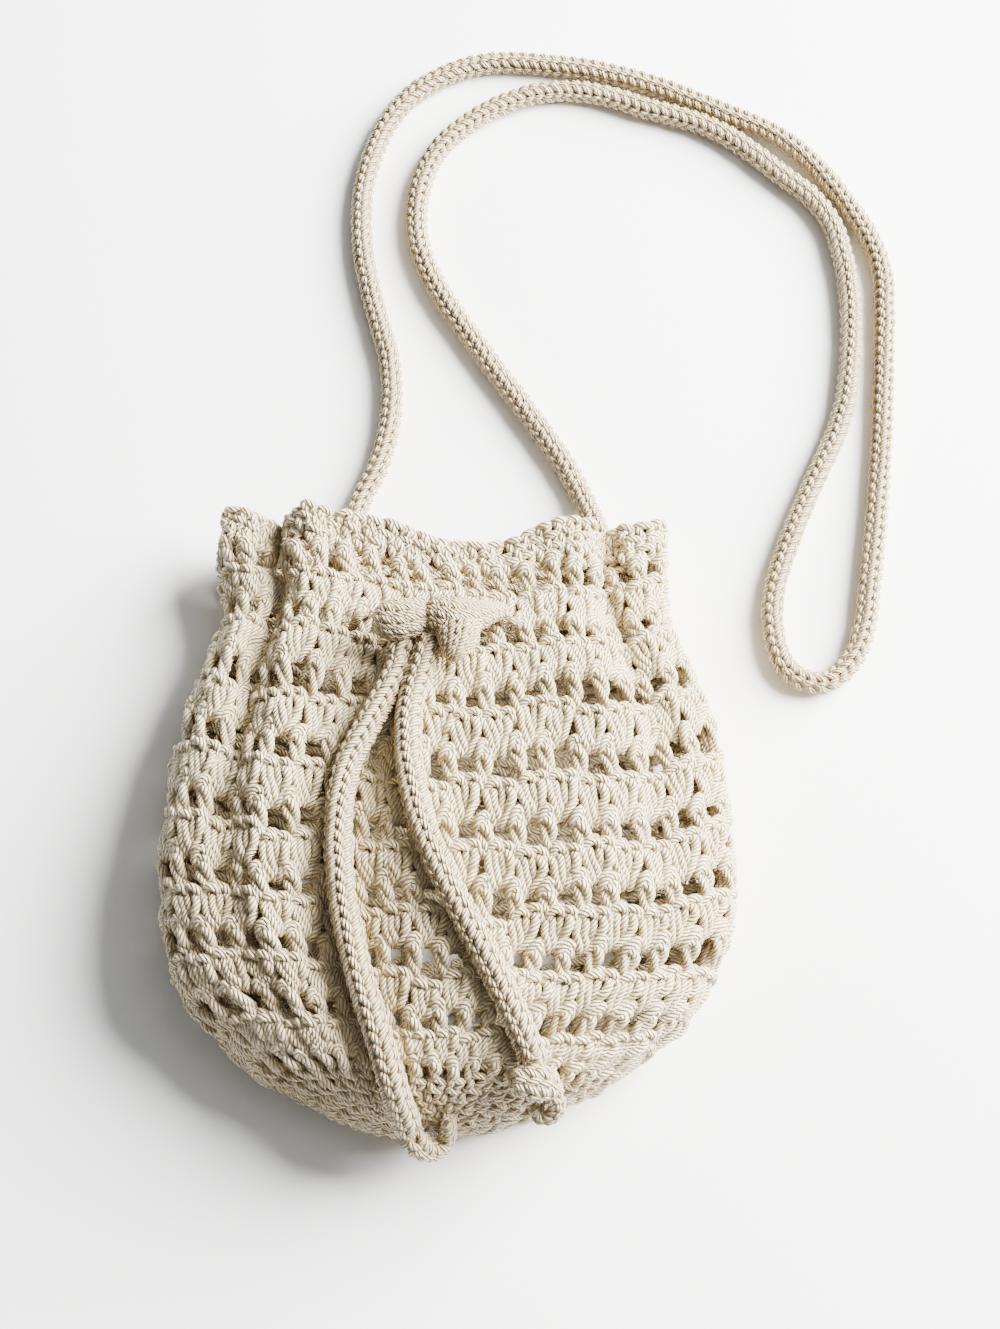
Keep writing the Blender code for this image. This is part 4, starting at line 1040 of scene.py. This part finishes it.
rim_foot = band_foot(BANDS - 1) + RIM_FOOT_IN_BAND * (band_foot(1) - band_foot(0))
rim_cells = []
for number in range(RIM_ROUNDS):
    low = rim_foot + (1.0 - rim_foot) * number / RIM_ROUNDS
    high = rim_foot + (1.0 - rim_foot) * (number + 1) / RIM_ROUNDS
    rim_cells += round_cells(RIM_STITCHES, low, high, 0.5 * (number % 2))
bag_rows("rim", rim_cells, tight_stitch, RIM_YARN, RIM_UNEVENNESS, 22)

base_round = BASE_SHARE / (len(BASE_ROUNDS) + BASE_OPEN_MIDDLE)
base_cells = []
for number, count in enumerate(BASE_ROUNDS):
    low = base_round * (number + BASE_OPEN_MIDDLE)
    base_cells += round_cells(count, low, low + base_round, BASE_SHIFT * number)
bag_rows("base", base_cells, tight_stitch, BASE_YARN, BASE_UNEVENNESS, 23)

# The cords

guides = [bag_guide]


def crocheted_cord(name, sections, stitch, upright=True, rounded=True):
    """A round cord of stitches over its stuffing, and the line through its middle."""
    cord = CORDS[name]
    guide, middles = swept_guide(name + "_guide", sections, rounded, upright)
    guides.append(guide)
    cells = cord_cells(cord.columns, cord.pitch, float(lengths_along(middles)[-1]), cord.drift)
    sides = YARN_SIDES if stitch == cord_stitch else FINE_YARN_SIDES
    piece = crochet(
        name, cells, stitch, guide, cord.yarn, sides, cord_cotton, CORD_UNEVENNESS, cord.seed,
        core_depth=cord.core_depth,
    )
    finished(piece, "cord_yarn", cord.node)
    return piece, middles


def tube(route, diameter):
    """The sections of a round cord on a route."""
    return [(*place, diameter, diameter) for place in route]


crocheted_cord("neck_cord", tube(NECK_ROUTE, NECK_CORD_DIAMETER), fine_stitch, upright=False)
for name, sections in (("knot_left", KNOT_LEFT), ("knot_right", KNOT_RIGHT), ("knot_flap", KNOT_FLAP)):
    crocheted_cord(name, sections, fine_stitch)
left_tail, left_path = crocheted_cord(
    "left_tail", tube(LEFT_TAIL_TOP + LEFT_TAIL_ROUTE, TAIL_DIAMETER), cord_stitch, rounded=False
)
right_tail, right_path = crocheted_cord(
    "right_tail", tube(RIGHT_TAIL_TOP + RIGHT_TAIL_ROUTE, TAIL_DIAMETER), cord_stitch, rounded=False
)
left_tip, _ = crocheted_cord("left_tip", END_LOOP, cord_stitch, upright=False)
end_ball, _ = crocheted_cord("end_knot_ball", END_KNOT, cord_stitch)
end_curl, _ = crocheted_cord("end_knot_curl", END_CURL, cord_stitch, upright=False)
strap, strap_path = crocheted_cord("crossbody_strap", tube(STRAP_ROUTE, STRAP_DIAMETER), strap_stitch)
sewn_left, _ = crocheted_cord("sewn_end_left", SEWN_END_LEFT, fine_stitch)
sewn_right, _ = crocheted_cord("sewn_end_right", SEWN_END_RIGHT, fine_stitch)

for helper in (*guides, open_stitch, band_stitch, tight_stitch, cord_stitch, strap_stitch, fine_stitch):
    bpy.data.objects.remove(helper, do_unlink=True)

# The floor and the light

floor_mesh = bpy.data.meshes.new("floor")
corners = [(x * FLOOR_REACH, y * FLOOR_REACH, FLOOR_HEIGHT) for x, y in ((-1, -1), (1, -1), (1, 1), (-1, 1))]
floor_mesh.from_pydata(corners, [], [(0, 1, 2, 3)])
floor = linked("floor", floor_mesh)
paper = bpy.data.materials.new("white_paper")
paper.use_nodes = True
paper_shader = paper.node_tree.nodes["Principled BSDF"]
paper_shader.inputs["Base Color"].default_value = (PAPER_WHITE, PAPER_WHITE, PAPER_WHITE, 1.0)
paper_shader.inputs["Roughness"].default_value = 0.9
floor_mesh.materials.append(paper)

for lamp in LAMPS:
    light = bpy.data.lights.new(lamp.name, "AREA")
    light.shape = "DISK"
    light.size = lamp.width
    light.energy = lamp.power
    light.color = lamp.colour
    hung = linked(lamp.name, light)
    hung.location = lamp.place
    heading = Vector(lamp.target) - Vector(lamp.place)
    hung.rotation_euler = heading.to_track_quat("-Z", "Y").to_euler()

room = bpy.data.worlds.new("studio")
room.use_nodes = True
room.node_tree.nodes["Background"].inputs["Color"].default_value = ROOM_COLOUR
room.node_tree.nodes["Background"].inputs["Strength"].default_value = ROOM_STRENGTH
bpy.context.scene.world = room
